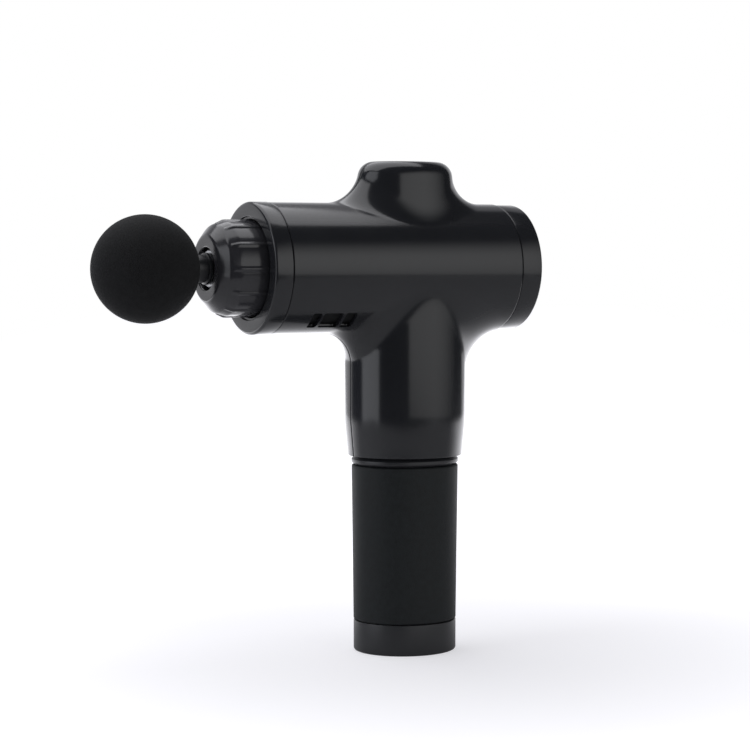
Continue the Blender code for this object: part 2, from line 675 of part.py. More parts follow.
# ---- rotor -----------------------------------------------------------------
def rotor():
    inner = BELL_R - BELL_WALL
    turned("motor_bell", [(SHAFT_R + GAP, 228.4), (BELL_R - 1.5, 228.4), (BELL_R, 226.9), (BELL_R, 207.0),
                          (inner, 207.0), (inner, 226.4), (SHAFT_R + GAP, 226.4)], "steel")
    outside = inner - GAP
    tube("magnet_ring", outside, outside - MAGNET_THICK, STATOR_BOTTOM, STATOR_TOP + 1, "magnet", steps=32)
    rod("motor_shaft", SHAFT_R, 195.2, 230.0, "steel", steps=24)
    crank = rod("crank", 9.5, 194.6, 199.6, "steel", steps=24)
    join(crank, rod("crank_weight", 8.8, 194.3, 199.3, at=(-5.5, 0, 0), steps=24),
         rod("crank_pin", 2.0, 180.6, 197.0, at=(CRANK_R, 0, 0), steps=16))
    cut(crank, rod("crank_bore", SHAFT_R + GAP, 190, 205))
    dissolve_flats(crank)
    tube("crank_roller", ROLLER_R, 2.0 + GAP, 181.6, 190.6, "steel", at=(CRANK_R, 0, 0), steps=24)


# ---- piston and head ---------------------------------------------------------
YOKE_HALF_X, YOKE_HALF_Y = 14.0, 16.0
ROD_FRONT = -84.0


def piston():
    """Cross slotted yoke on a rod: the roller's circle becomes a straight stroke."""
    yoke = span_box("piston_yoke", (CRANK_R - YOKE_HALF_X, -YOKE_HALF_Y, 182),
                    (CRANK_R + YOKE_HALF_X, YOKE_HALF_Y, 190), "aluminium")
    half_slot = ROLLER_R + SLOT_PLAY
    end = CRANK_R + ROLLER_R + 1.4
    slot = span_box("yoke_slot", (CRANK_R - half_slot, -end, 170), (CRANK_R + half_slot, end, 200))
    cut(yoke, slot)
    join(yoke, rod("yoke_rod", ROD_R, ROD_FRONT, CRANK_R - YOKE_HALF_X + 3, axis="X",
                   at=(0, 0, AXIS_Z), steps=32))
    turned("head_socket", [(0, ROD_FRONT - GAP), (ROD_R + GAP, ROD_FRONT - GAP), (ROD_R + GAP, -76),
                           (SOCKET_R, -76), (SOCKET_R, -102.9), (SOCKET_R - 0.6, -103.5),
                           (SOCKET_BORE, -103.5), (SOCKET_BORE, -86.0), (0, -86.0)], "aluminium",
           axis="X", at=(0, 0, AXIS_Z), steps=32)


STEM_SHOULDER = -103.9


def head():
    bore_end = BALL_X + 7
    mouth_x = BALL_X + math.sqrt(BALL_R ** 2 - (STEM_R + GAP) ** 2)
    start = math.atan2(STEM_R + GAP, mouth_x - BALL_X)
    bands = 12
    profile = [(0, bore_end - GAP), (STEM_R + GAP, bore_end - GAP)]
    for i in range(bands):
        turn = start + (math.pi - start) * i / bands
        profile.append((BALL_R * math.sin(turn), BALL_X + BALL_R * math.cos(turn)))
    profile.append((0, BALL_X - BALL_R))
    turned("massage_ball", profile, "foam", axis="X", at=(0, 0, AXIS_Z))
    groove = STEM_PLUG_R - 1.2
    turned("head_stem", [(0, bore_end), (STEM_R, bore_end), (STEM_R, STEM_SHOULDER),
                         (STEM_PLUG_R, STEM_SHOULDER), (STEM_PLUG_R, -95.6), (groove, -95.6),
                         (groove, -93.0), (STEM_PLUG_R, -93.0), (STEM_PLUG_R, -87.4),
                         (STEM_PLUG_R - 0.8, -86.6), (0, -86.6)], "satin", axis="X",
           at=(0, 0, AXIS_Z), steps=24)
    centre, thick = groove + GAP + 0.5, 0.5
    ring = [(centre + thick * math.cos(math.tau * i / 6), -94.3 + 1.6 * thick * math.sin(math.tau * i / 6))
            for i in range(6)]
    turned("head_seal", ring, "rubber", axis="X", at=(0, 0, AXIS_Z), steps=20)


# ---- assembly ----------------------------------------------------------------
def build():
    battery_case()
    cells()
    battery_inside()
    battery_contacts()
    grip()
    base_cap()
    base_fittings()
    rocker_switch()
    hollow = housing_hollow()
    tools = housing_cutters()
    housing_half("left_housing", -1, hollow, tools)
    housing_half("right_housing", 1, hollow, tools)
    housing_screws()
    front_ring()
    nose_collar()
    rear_cover()
    control_panel()
    motor_frame()
    bearings()
    stator()
    boards_and_contacts()
    release_button()
    rotor()
    piston()
    head()


build()
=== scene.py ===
import json
import math

import bmesh
import bpy
import numpy as np
from mathutils import Matrix, Vector


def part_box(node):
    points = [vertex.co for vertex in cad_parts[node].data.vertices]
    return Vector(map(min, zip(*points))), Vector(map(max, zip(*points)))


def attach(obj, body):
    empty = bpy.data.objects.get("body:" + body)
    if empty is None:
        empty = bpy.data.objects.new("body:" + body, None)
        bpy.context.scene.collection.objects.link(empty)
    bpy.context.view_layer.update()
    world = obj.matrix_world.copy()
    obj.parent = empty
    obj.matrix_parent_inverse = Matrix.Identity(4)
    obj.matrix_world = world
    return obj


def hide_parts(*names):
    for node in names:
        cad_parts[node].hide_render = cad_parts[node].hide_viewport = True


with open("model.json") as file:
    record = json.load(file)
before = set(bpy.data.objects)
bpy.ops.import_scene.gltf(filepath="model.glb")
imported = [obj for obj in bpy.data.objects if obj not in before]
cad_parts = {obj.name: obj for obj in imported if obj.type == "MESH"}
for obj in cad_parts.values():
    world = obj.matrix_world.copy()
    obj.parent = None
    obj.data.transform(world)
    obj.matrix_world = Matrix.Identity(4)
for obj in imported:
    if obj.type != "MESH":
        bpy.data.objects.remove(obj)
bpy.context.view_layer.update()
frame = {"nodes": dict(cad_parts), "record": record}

MM = 0.001


# ---- sizes, read from the frame ----
def span(node):
    low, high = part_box(node)
    return np.array(low) / MM, np.array(high) / MM


RING_LOW, RING_HIGH = span("front_ring")
REAR_LOW, REAR_HIGH = span("rear_cover")
NOSE_LOW, NOSE_HIGH = span("nose_collar")
GRIP_LOW, GRIP_HIGH = span("grip_sleeve")
COLLAR_LOW, COLLAR_HIGH = span("grip_collar")
CAP_LOW, CAP_HIGH = span("base_cap")
SHELL_LOW, SHELL_HIGH = span("left_housing")
BALL_LOW = span("massage_ball")[0]
PANEL_LOW, PANEL_HIGH = span("control_panel")

AXIS_Z = 186.0
ON_BARREL = {"axis": "X", "at": (0, 0, AXIS_Z)}
BARREL_R = 31.0
WALL = 2.2
SHELL_FRONT, SHELL_REAR = SHELL_LOW[0], SHELL_HIGH[0]
NECK_BOTTOM = SHELL_LOW[2]
BUMP_TOP = SHELL_HIGH[2]
BALL_R = 25.0
BALL_X = BALL_LOW[0] + BALL_R
STEM_R = 6.5
NOSE_R = 22.7
NECK_X, NECK_Y = 29.6, 28.4
NECK_DRAW_IN, NECK_DRAW_TOP = 1.6, 116.0  # the neck narrows towards its foot
NECK_FILLETS = (15.0, 24.0)  # at the front and at the rear
DOME_FOOT, DOME_TAPER, DOME_EDGE = 25.6, 0.12, 6.5
DOME_OVAL = 5.5  # by how much the dome's half width in y is less than in x
DOME_FILLETS = (17.0, 14.0)
DOME_SIDE_FILLET = 12.0
SCREW_SPOTS = [(-64.0, 203.0), (-64.0, 169.0), (38.0, 204.0), (0.0, 146.0)]
SCREW_SEAT_Y = 9.0
BOSS_R, BOSS_HOLE_R, SCREW_HOLE_R = 4.7, 3.0, 1.6
VENTS = [(-60.5, -55.8), (-54.7, -44.8), (-43.2, -37.4)]
VENT_BOTTOM, VENT_TOP = 158.4, 165.2
WINDOW_Z = 104.0  # middle of the release button
WINDOW_HALF_Y, WINDOW_HALF_Z = 4.5, 6.0
SEAM = 0.12  # from the mirror plane to the cut edge of each half
EDGE_ROUND = 0.5
FINE = 160  # steps round a turned piece
CELL = 1.0  # spacing of the housing's surface grid


# ---- materials ----
def mapped(tree, value, limits, kind="SMOOTHSTEP"):
    """A value mapped from one range to another; limits has the ends of both."""
    spread = tree.nodes.new("ShaderNodeMapRange")
    spread.interpolation_type = kind
    for name, limit in zip(("From Min", "From Max", "To Min", "To Max"), limits):
        spread.inputs[name].default_value = limit
    tree.links.new(value, spread.inputs["Value"])
    return spread.outputs["Result"]


class Nodes:
    """A Principled material under construction."""

    def __init__(self, name, colour, roughness, metallic=0.0):
        self.material = bpy.data.materials.new(name)
        self.material.use_nodes = True
        self.tree = self.material.node_tree
        self.shader = self.tree.nodes["Principled BSDF"]
        self.shader.inputs["Base Color"].default_value = (*colour, 1.0)
        self.shader.inputs["Roughness"].default_value = roughness
        self.shader.inputs["Metallic"].default_value = metallic
        coordinates = self.add("ShaderNodeTexCoord")
        self.place = coordinates.outputs["Object"]

    def add(self, kind, **settings):
        node = self.tree.nodes.new(kind)
        for key, value in settings.items():
            setattr(node, key, value)
        return node

    def link(self, source, target):
        self.tree.links.new(source, target)

    def noise(self, scale, detail=4.0, stretch=None):
        texture = self.add("ShaderNodeTexNoise")
        texture.inputs["Scale"].default_value = scale
        texture.inputs["Detail"].default_value = detail
        self.link(self.stretched(stretch), texture.inputs["Vector"])
        return texture.outputs["Fac"]

    def stretched(self, stretch):
        if not stretch:
            return self.place
        mapping = self.add("ShaderNodeMapping")
        mapping.inputs["Scale"].default_value = stretch
        self.link(self.place, mapping.inputs["Vector"])
        return mapping.outputs["Vector"]

    def pores(self, scale):
        texture = self.add("ShaderNodeTexVoronoi", feature="F1")
        texture.inputs["Scale"].default_value = scale
        self.link(self.place, texture.inputs["Vector"])
        return texture.outputs["Distance"]

    def tint(self, source, dark, light):
        ramp = self.add("ShaderNodeValToRGB")
        ramp.color_ramp.elements[0].position = 0.3
        ramp.color_ramp.elements[1].position = 0.7
        ramp.color_ramp.elements[0].color = (*dark, 1.0)
        ramp.color_ramp.elements[1].color = (*light, 1.0)
        self.link(source, ramp.inputs["Fac"])
        self.link(ramp.outputs["Color"], self.shader.inputs["Base Color"])

    def rough(self, source, low, high):
        self.link(mapped(self.tree, source, (0, 1, low, high), "LINEAR"), self.shader.inputs["Roughness"])

    def bump(self, source, strength, depth):
        bump = self.add("ShaderNodeBump")
        bump.inputs["Strength"].default_value = strength
        bump.inputs["Distance"].default_value = depth * MM
        self.link(source, bump.inputs["Height"])
        self.link(bump.outputs["Normal"], self.shader.inputs["Normal"])

    def plain(self, **values):
        """Single values, by the socket's name with _ for each space."""
        for name, value in values.items():
            self.shader.inputs[name.replace("_", " ")].default_value = value
        return self


def scaled(colour, factor):
    return tuple(c * factor for c in colour)


def moulded(name, colour, roughness, spread=0.05, grain=0.01):
    """Moulded plastic: a faint texture from the tool and slight clouding."""
    nodes = Nodes(name, colour, roughness)
    cloud = nodes.noise(60)
    nodes.tint(cloud, scaled(colour, 0.94), scaled(colour, 1.06))
    nodes.rough(cloud, roughness - spread / 2, roughness + spread / 2)
    nodes.bump(nodes.noise(2500, 2), 0.12, grain)
    return nodes.plain(IOR=1.5)


def metal(name, colour, roughness, stretch):
    """Machined or drawn metal with fine lines along one direction."""
    nodes = Nodes(name, colour, roughness, 1.0)
    lines = nodes.noise(900, 6, stretch)
    nodes.tint(lines, scaled(colour, 0.88), scaled(colour, 1.05))
    nodes.rough(lines, roughness - 0.08, roughness + 0.1)
    nodes.bump(lines, 0.15, 0.01)
    return nodes


def foam(name, colour, pore_scale, depth, roughness):
    """Closed cell foam: fine pores over a soft uneven skin."""
    nodes = Nodes(name, colour, roughness)
    skin = nodes.noise(350, 5)
    nodes.tint(skin, scaled(colour, 0.8), scaled(colour, 1.25))
    nodes.rough(skin, roughness - 0.06, roughness + 0.06)
    mix = nodes.add("ShaderNodeMath", operation="ADD")
    nodes.link(nodes.pores(pore_scale), mix.inputs[0])
    nodes.link(nodes.noise(pore_scale * 0.6, 3), mix.inputs[1])
    nodes.bump(mix.outputs["Value"], 0.5, depth)
    return nodes


def board_material():
    """Circuit board: solder mask with darker tracks."""
    nodes = Nodes("board", (0.012, 0.09, 0.045), 0.35)
    tracks = nodes.add("ShaderNodeTexBrick")
    tracks.inputs["Scale"].default_value = 260
    tracks.inputs["Color1"].default_value = (0.010, 0.085, 0.042, 1)
    tracks.inputs["Color2"].default_value = (0.016, 0.12, 0.06, 1)
    tracks.inputs["Mortar"].default_value = (0.03, 0.17, 0.09, 1)
    nodes.link(nodes.place, tracks.inputs["Vector"])
    nodes.link(tracks.outputs["Color"], nodes.shader.inputs["Base Color"])
    nodes.rough(nodes.noise(300), 0.3, 0.42)
    return nodes


def make_materials():
    looks = {
        "shell": moulded("shell", (0.019, 0.020, 0.023), 0.17, 0.03, 0.004),
        "nose": moulded("nose", (0.034, 0.034, 0.039), 0.16, 0.03, 0.004),
        "satin": moulded("satin", (0.020, 0.021, 0.024), 0.36, 0.06, 0.02),
        "panel": moulded("panel", (0.010, 0.010, 0.012), 0.10, 0.02, 0.002),
        "rubber": moulded("rubber", (0.016, 0.016, 0.017), 0.62, 0.08, 0.03),
        "nylon": moulded("nylon", (0.55, 0.54, 0.50), 0.5, 0.08, 0.02),
        "lens": moulded("lens", (0.62, 0.66, 0.68), 0.14, 0.03, 0.004),
        "cell": moulded("cell", (0.03, 0.12, 0.30), 0.3, 0.05, 0.004),
        "foam": foam("foam", (0.0105, 0.0108, 0.0115), 1500, 0.10, 0.88),
        "grip": foam("grip", (0.0088, 0.0112, 0.0125), 2200, 0.05, 0.62),
        "aluminium": metal("aluminium", (0.72, 0.73, 0.75), 0.34, (1, 12, 12)),
        "steel": metal("steel", (0.52, 0.53, 0.55), 0.26, (1, 1, 9)),
        "brass": metal("brass", (0.75, 0.56, 0.24), 0.26, (1, 1, 9)),
        "magnet": metal("magnet", (0.15, 0.15, 0.16), 0.34, (1, 1, 9)),
        "board": board_material(),
    }
    looks["foam"].plain(Specular_IOR_Level=0.25)
    looks["grip"].plain(Specular_IOR_Level=0.32)
    return {key: nodes.material for key, nodes in looks.items()}


MATERIAL = make_materials()


# ---- mesh tools ----
def new_object(name, data):
    made = bpy.data.objects.new(name, data)
    bpy.context.scene.collection.objects.link(made)
    return made


def mesh_of(name, shape):
    """A mesh from a bmesh, which is freed."""
    mesh = bpy.data.meshes.new(name)
    shape.to_mesh(mesh)
    shape.free()
    return mesh


def shade(mesh, sharp=40):
    mesh.shade_smooth()
    mesh.set_sharp_from_angle(angle=math.radians(sharp))


def dress(mesh, look, sharp=40):
    """Give a mesh its one material and its shading."""
    mesh.materials.clear()
    mesh.materials.append(MATERIAL[look])
    shade(mesh, sharp)


def add_piece(name, verts, faces, look, body, stands_for=(), sharp=40):
    """A finished piece that rides on a body and stands for CAD nodes."""
    mesh = bpy.data.meshes.new(name)
    mesh.from_pydata([tuple(v) for v in np.asarray(verts) * MM], [], faces)
    mesh.validate()
    return add_mesh(name, mesh, look, body, stands_for, sharp)


def add_mesh(name, mesh, look, body, stands_for=(), sharp=40):
    """A piece from a mesh in metres: its material, its shading and its place in the frame."""
    dress(mesh, look, sharp)
    piece = new_object(name, mesh)
    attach(piece, body)
    if stands_for:
        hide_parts(*stands_for)
    return piece


def rounded(corners, pieces=5):
    """An outline with its corners rounded: corners are (radius, along, rounding)."""
    points = []
    count = len(corners)
    for i in range(count):
        here = np.array(corners[i][:2], float)
        size = corners[i][2]
        before = np.array(corners[i - 1][:2], float) - here
        after = np.array(corners[(i + 1) % count][:2], float) - here
        if size <= 0:
            points.append(here)
            continue
        back, ahead = before / np.linalg.norm(before), after / np.linalg.norm(after)
        half = math.acos(max(-1, min(1, float(back @ ahead)))) / 2
        run = size / math.tan(half)
        middle = here + (back + ahead) / np.linalg.norm(back + ahead) * size / math.sin(half)
        start, end = here + back * run - middle, here + ahead * run - middle
        turn = math.atan2(start[0] * end[1] - start[1] * end[0], float(start @ end))
        for j in range(pieces + 1):
            c, s = math.cos(turn * j / pieces), math.sin(turn * j / pieces)
            points.append(middle + np.array([c * start[0] - s * start[1], s * start[0] + c * start[1]]))
    return points


def turn_outline(points, steps, axis="Z", at=(0, 0, 0), squeeze=0.0, lift=None):
    """Vertices and faces of an outline turned round an axis.

    The outline is closed. squeeze makes an upright oval, whose half width in Y
    is less by that much, and lift(radius, along, angle) adds to the radius.
    """
    points = [np.array(p, float) for p in points]
    area = sum(a[0] * b[1] - b[0] * a[1] for a, b in zip(points, points[1:] + points[:1]))
    if area > 0:
        points.reverse()
    rows, verts = [], []
    for radius, along in points:
        row = []
        for i in range(1 if radius < 1e-6 else steps):
            angle = math.tau * i / steps
            r = radius + (lift(radius, along, angle) if lift else 0.0)
            u, v = r * math.cos(angle), (r - squeeze) * math.sin(angle)
            row.append(len(verts))
            verts.append({"Z": (u, v, along), "X": (along, u, v), "Y": (v, along, u)}[axis])
        rows.append(row)
    faces = []
    for a, b in zip(rows, rows[1:] + rows[:1]):
        for i in range(steps):
            j = (i + 1) % steps
            ring = [a[i % len(a)], a[j % len(a)], b[j % len(b)], b[i % len(b)]]
            ring = [v for k, v in enumerate(ring) if v != ring[k - 1]]
            if len(ring) > 2:
                faces.append(ring[::-1])
    return np.array(verts) + np.array(at), faces


def turned(name, corners, look, body, stands_for=(), axis="Z", at=(0, 0, 0), squeeze=0.0,
           steps=FINE, lift=None, slot=None, pieces=5):
    """A piece turned from an outline with rounded corners."""
    verts, faces = turn_outline(rounded(corners, pieces), steps, axis, at, squeeze, lift)
    return add_piece(name, verts, faces, look, body, stands_for)


def block(low, high, rounding, pieces=3):
    """A box with rounded edges, as a bmesh."""
    shape = bmesh.new()
    bmesh.ops.create_cube(shape, size=1.0)
    size = [(b - a) * MM for a, b in zip(low, high)]
    centre = Vector([(a + b) / 2 * MM for a, b in zip(low, high)])
    bmesh.ops.scale(shape, vec=size, verts=shape.verts)
    bmesh.ops.translate(shape, vec=centre, verts=shape.verts)
    if rounding:
        bmesh.ops.bevel(shape, geom=shape.edges[:], offset=rounding * MM, segments=pieces,
                        affect="EDGES", profile=0.5)
    return shape


def bare_object(name, shape):
    """An object from a bmesh, with no material yet: a cutter, or a piece before finish_block."""
    return new_object(name, mesh_of(name, shape))


def cut_away(piece, tool, operation="DIFFERENCE"):
    """Subtract a tool from a piece for good, or join it on, and drop the tool."""
    step = piece.modifiers.new("cut", "BOOLEAN")
    step.operation = operation
    step.solver = "MANIFOLD"
    step.object = tool
    evaluated = piece.evaluated_get(bpy.context.evaluated_depsgraph_get())
    mesh = bpy.data.meshes.new_from_object(evaluated)
    piece.modifiers.clear()
    old = piece.data
    piece.data = mesh
    bpy.data.meshes.remove(old)
    bpy.data.objects.remove(tool, do_unlink=True)
    shade(piece.data)


def drill(radius, start, end, axis="Z", at=(0, 0, 0)):
    """A round cutter along an axis, as a bmesh."""
    shape = bmesh.new()
    bmesh.ops.create_cone(shape, cap_ends=True, segments=48, radius1=radius * MM, radius2=radius * MM,
                          depth=(end - start) * MM)
    middle = Vector(at)
    middle["XYZ".index(axis)] += (start + end) / 2
    turn = {"X": Matrix.Rotation(math.radians(90), 4, "Y"), "Y": Matrix.Rotation(math.radians(90), 4, "X"),
            "Z": Matrix.Identity(4)}[axis]
    move = Matrix.Translation(middle * MM) @ turn
    bmesh.ops.transform(shape, matrix=move, verts=shape.verts)
    return shape


# ---- the housing as a field of distances ----
def oval_distance(x, y, half_x, half_y):
    """Distance to an oval, close to exact near its outline."""
    q = np.sqrt((x / half_x) ** 2 + (y / half_y) ** 2) + 1e-9
    slope = np.sqrt((x / half_x ** 2) ** 2 + (y / half_y ** 2) ** 2) / q + 1e-9
    return (q - 1) / slope


def round_both(a, b, radius):
    """Intersection of two distances with a rounded edge."""
    inner = np.minimum(np.maximum(a + radius, b + radius), 0)
    return inner + np.hypot(np.maximum(a + radius, 0), np.maximum(b + radius, 0)) - radius


def ease(value, low, high):
    t = np.clip((value - low) / (high - low), 0, 1)
    return t * t * (3 - 2 * t)


def oval_normal(x, y, half_x, half_y):
    """Direction across an upright oval, as unit x and y parts."""
    u, v = x / half_x ** 2, y / half_y ** 2
    length = np.hypot(u, v) + 1e-9
    return u / length, v / length


def rolling_union(a, b, turn, radius):
    """Union with the fillet that a ball of this radius leaves.

    turn is the cosine of the angle between the two faces' directions.
    """
    turn = np.clip(turn, -0.95, 0.995)
    bend = 1 - turn ** 2
    to_a, to_b = radius - a, radius - b
    in_corner = (to_a > turn * to_b) & (to_b > turn * to_a)
    reach = np.sqrt(np.maximum(to_a ** 2 + to_b ** 2 - 2 * to_a * to_b * turn, 0) / bend)
    sharp = np.minimum(a, b)
    return np.where(in_corner & (to_a + to_b > 0), np.minimum(sharp, radius - reach), sharp)


def housing_field(p):
    """Barrel, neck and motor dome, blended by their fillets."""
    x, y, z = p[:, 0], p[:, 1], p[:, 2]
    from_axis = np.hypot(y, z - AXIS_Z) + 1e-9
    barrel = from_axis - BARREL_R
    side_y = y / from_axis
    draw_in = NECK_DRAW_IN * (1 - ease(z, NECK_BOTTOM - 4, NECK_DRAW_TOP))
    half_x, half_y = NECK_X - draw_in, NECK_Y - draw_in
    neck = np.maximum(oval_distance(x, y, half_x, half_y), z - AXIS_Z)
    turn = oval_normal(x, y, half_x, half_y)[1] * side_y
    body = rolling_union(barrel, neck, turn, blend_by_side(x, *NECK_FILLETS))
    half_x = DOME_FOOT - DOME_TAPER * np.clip(z - AXIS_Z - BARREL_R, -8, 20)
    half_y = half_x - DOME_OVAL
    dome = round_both(oval_distance(x, y, half_x, half_y), z - BUMP_TOP, DOME_EDGE)
    dome = np.maximum(dome, AXIS_Z - z)
    across = oval_normal(x, y, half_x, half_y)[1]
    fillet = blend_by_side(x, *DOME_FILLETS)
    fillet += (DOME_SIDE_FILLET - fillet) * across ** 2
    return rolling_union(body, dome, across * side_y, fillet)


def blend_by_side(x, front, rear):
    """A fillet radius that changes smoothly from the front of the gun to its rear."""
    return (front + rear) / 2 + (rear - front) / 2 * np.tanh(x / 14)


def slope_of(field, p, step=0.02):
    """The direction in which a field grows, by differences."""
    g = np.empty_like(p)
    for k in range(3):
        d = np.zeros(3)
        d[k] = step
        g[:, k] = (field(p + d) - field(p - d)) / (2 * step)
    return g


def onto_surface(field, p, rounds=4):
    """Points moved along the slope to the field's zero level."""
    for _ in range(rounds):
        g = slope_of(field, p)
        p = p - (field(p) / np.maximum((g * g).sum(1), 0.2))[:, None] * g
    return p


def surface_net(field, low, high, cell):
    """Quads over the zero level of a field, one vertex in each crossed cell."""
    axes = [np.arange(a, b + cell, cell) for a, b in zip(low, high)]
    shape = tuple(len(a) for a in axes)
    grid = np.stack(np.meshgrid(*axes, indexing="ij"), -1).reshape(-1, 3)
    value = field(grid).reshape(shape)
    inside = value < 0
    corner = [inside[i:shape[0] - 1 + i, j:shape[1] - 1 + j, k:shape[2] - 1 + k]
              for i in (0, 1) for j in (0, 1) for k in (0, 1)]
    count = sum(c.astype(np.int8) for c in corner)
    crossed = (count > 0) & (count < 8)
    number = np.full(crossed.shape, -1)
    number[crossed] = np.arange(crossed.sum())
    where = np.argwhere(crossed)
    points = np.stack([axes[k][where[:, k]] + cell / 2 for k in range(3)], 1)
    faces = []
    for k in range(3):
        a = inside.take(range(shape[k] - 1), k)
        b = inside.take(range(1, shape[k]), k)
        edge = np.argwhere(a != b)
        m, n = (k + 1) % 3, (k + 2) % 3
        ok = (edge[:, m] > 0) & (edge[:, n] > 0) & (edge[:, m] < shape[m] - 1) & (edge[:, n] < shape[n] - 1)
        edge = edge[ok]
        outward = a[tuple(edge.T)]
        ring = []
        for dm, dn in ((0, 0), (-1, 0), (-1, -1), (0, -1)):
            spot = edge.copy()
            spot[:, m] += dm
            spot[:, n] += dn
            ring.append(number[tuple(spot.T)])
        ring = np.stack(ring, 1)
        ring[~outward] = ring[~outward][:, ::-1]
        faces.append(ring)
    return points, np.concatenate(faces)


def relax(field, points, faces, rounds):
    """Even out the quads along the surface, then put them back on it."""
    pairs = np.concatenate([faces[:, [i, (i + 1) % 4]] for i in range(4)])
    pairs = np.unique(np.sort(pairs, 1), axis=0)
    degree = np.bincount(pairs.ravel(), minlength=len(points))[:, None]
    for _ in range(rounds):
        total = np.zeros_like(points)
        np.add.at(total, pairs[:, 0], points[pairs[:, 1]])
        np.add.at(total, pairs[:, 1], points[pairs[:, 0]])
        middle = total / np.maximum(degree, 1)
        points = onto_surface(field, points + 0.5 * (middle - points), 1)
    return onto_surface(field, points, 3)


def housing_surface():
    """The outer skin of the whole housing as a bmesh, a little overlong at its ends."""
    over = 3 * CELL
    low = (SHELL_FRONT - over, -BARREL_R - over, NECK_BOTTOM - over)
    high = (SHELL_REAR + over, BARREL_R + over, BUMP_TOP + over)
    points, faces = surface_net(housing_field, low, high, CELL)
    points = onto_surface(housing_field, points)
    points = relax(housing_field, points, faces, 6)
    shape = bmesh.new()
    verts = [shape.verts.new(p) for p in points]
    for quad in faces:
        shape.faces.new([verts[i] for i in quad])
    shape.verts.ensure_lookup_table()
    return shape


def trim(shape, spot, normal):
    """Cut the skin off beyond a plane, with extra rows of edges close to the cut for its rounding."""
    spot, normal = np.array(spot, float), np.array(normal, float)
    for depth in (0.08, 0.2, EDGE_ROUND, 0.0):
        geometry = shape.verts[:] + shape.edges[:] + shape.faces[:]
        bmesh.ops.bisect_plane(shape, geom=geometry, plane_co=spot - normal * depth, plane_no=normal,
                               clear_outer=depth == 0.0, dist=0.001)


def round_in(shape, spot, normal):
    """Draw the skin inwards next to a trimmed edge, as a moulded edge is rounded."""
    spot, normal = np.array(spot, float), np.array(normal, float)
    shape.verts.ensure_lookup_table()
    points = np.array([v.co for v in shape.verts])
    depth = (spot - points) @ normal
    near = np.clip(1 - depth / EDGE_ROUND, 0, 1)
    sink = EDGE_ROUND * (1 - np.sqrt(1 - near ** 2))
    chosen = np.where(sink > 0)[0]
    g = slope_of(housing_field, points[chosen])
    g -= np.outer(g @ normal, normal)
    g /= np.linalg.norm(g, axis=1)[:, None] + 1e-9
    for i, d, s in zip(chosen, g, sink[chosen]):
        shape.verts[i].co -= Vector(d * s)


def housing_tool(side):
    """Everything cut out of one half: vents, screw holes, the release window."""
    inside, outside = 12, 40
    low_y, high_y = sorted((side * inside, side * outside))
    shapes = [block((start, low_y, VENT_BOTTOM), (end, high_y, VENT_TOP), 0.8) for start, end in VENTS]
    shapes.append(block((NECK_X - 7.6, -WINDOW_HALF_Y, WINDOW_Z - WINDOW_HALF_Z),
                        (NECK_X + 6.4, WINDOW_HALF_Y, WINDOW_Z + WINDOW_HALF_Z), 0.6))
    if side > 0:
        shapes += [drill(BOSS_HOLE_R, inside, outside + 2, "Y", (x, 0, z)) for x, z in SCREW_SPOTS]
    joined = bmesh.new()
    for shape in shapes:
        mesh = mesh_of("part_of_tool", shape)
        joined.from_mesh(mesh)
        bpy.data.meshes.remove(mesh)
    bmesh.ops.triangulate(joined, faces=joined.faces)
    return bare_object("housing_tool", joined)


def thicken(shape, wall):
    """Give the skin an inner face and close its rims."""
    shape.verts.ensure_lookup_table()
    outer = shape.verts[:]
    points = np.array([v.co for v in outer])
    g = slope_of(housing_field, points)
    g /= np.linalg.norm(g, axis=1)[:, None]
    inner = {v: shape.verts.new(Vector(p - n * wall)) for v, p, n in zip(outer, points, g)}
    rims = [e for e in shape.edges if e.is_boundary]
    skin = shape.faces[:]
    for face in skin:
        shape.faces.new([inner[v] for v in reversed(face.verts)])
    for edge in rims:
        a, b = edge.link_loops[0].vert, edge.link_loops[0].link_loop_next.vert
        shape.faces.new((b, a, inner[a], inner[b]))


def housing_half(name, side, node):
    """One hollow half of the housing; side is the sign of the half's y."""
    shape = housing_surface()
    ends = [((SHELL_FRONT, 0, 0), (-1, 0, 0)), ((SHELL_REAR, 0, 0), (1, 0, 0)),
            ((0, 0, NECK_BOTTOM), (0, 0, -1)), ((0, side * SEAM, 0), (0, -side, 0))]
    for spot, normal in ends:
        trim(shape, spot, normal)
    for spot, normal in ends:
        round_in(shape, spot, normal)
    thicken(shape, WALL)
    bmesh.ops.recalc_face_normals(shape, faces=shape.faces)
    bmesh.ops.scale(shape, vec=(MM, MM, MM), verts=shape.verts)
    half = add_mesh(name, mesh_of(name, shape), "shell", "gun_body", (node,), 50)
    cut_away(half, housing_tool(side))
    dress(half.data, "shell")


# ---- nose and head ----
RIB_COUNT = 12
RIB_FRONT, RIB_REAR = -100.0, RING_LOW[0] + 1.6
RIB_HALF_WIDTH, RIB_HEIGHT = 1.15, 0.62
NOSE_STEPS = 240


def rib_height(radius, along, angle):
    """Grip ribs along the nose: twelve round ridges that fade out at both ends."""
    if radius < 18 or not RIB_FRONT - 1 < along < RIB_REAR + 1:
        return 0.0
    step = math.tau / RIB_COUNT
    off = abs((angle + step / 2) % step - step / 2) * radius
    across = max(0.0, 1 - (off / RIB_HALF_WIDTH) ** 2) ** 0.7
    ends = min(ease(along, RIB_FRONT - 0.4, RIB_FRONT + 0.8),
               1 - ease(along, RIB_REAR - 0.5, RIB_REAR + 0.3))
    return RIB_HEIGHT * across * float(ends)


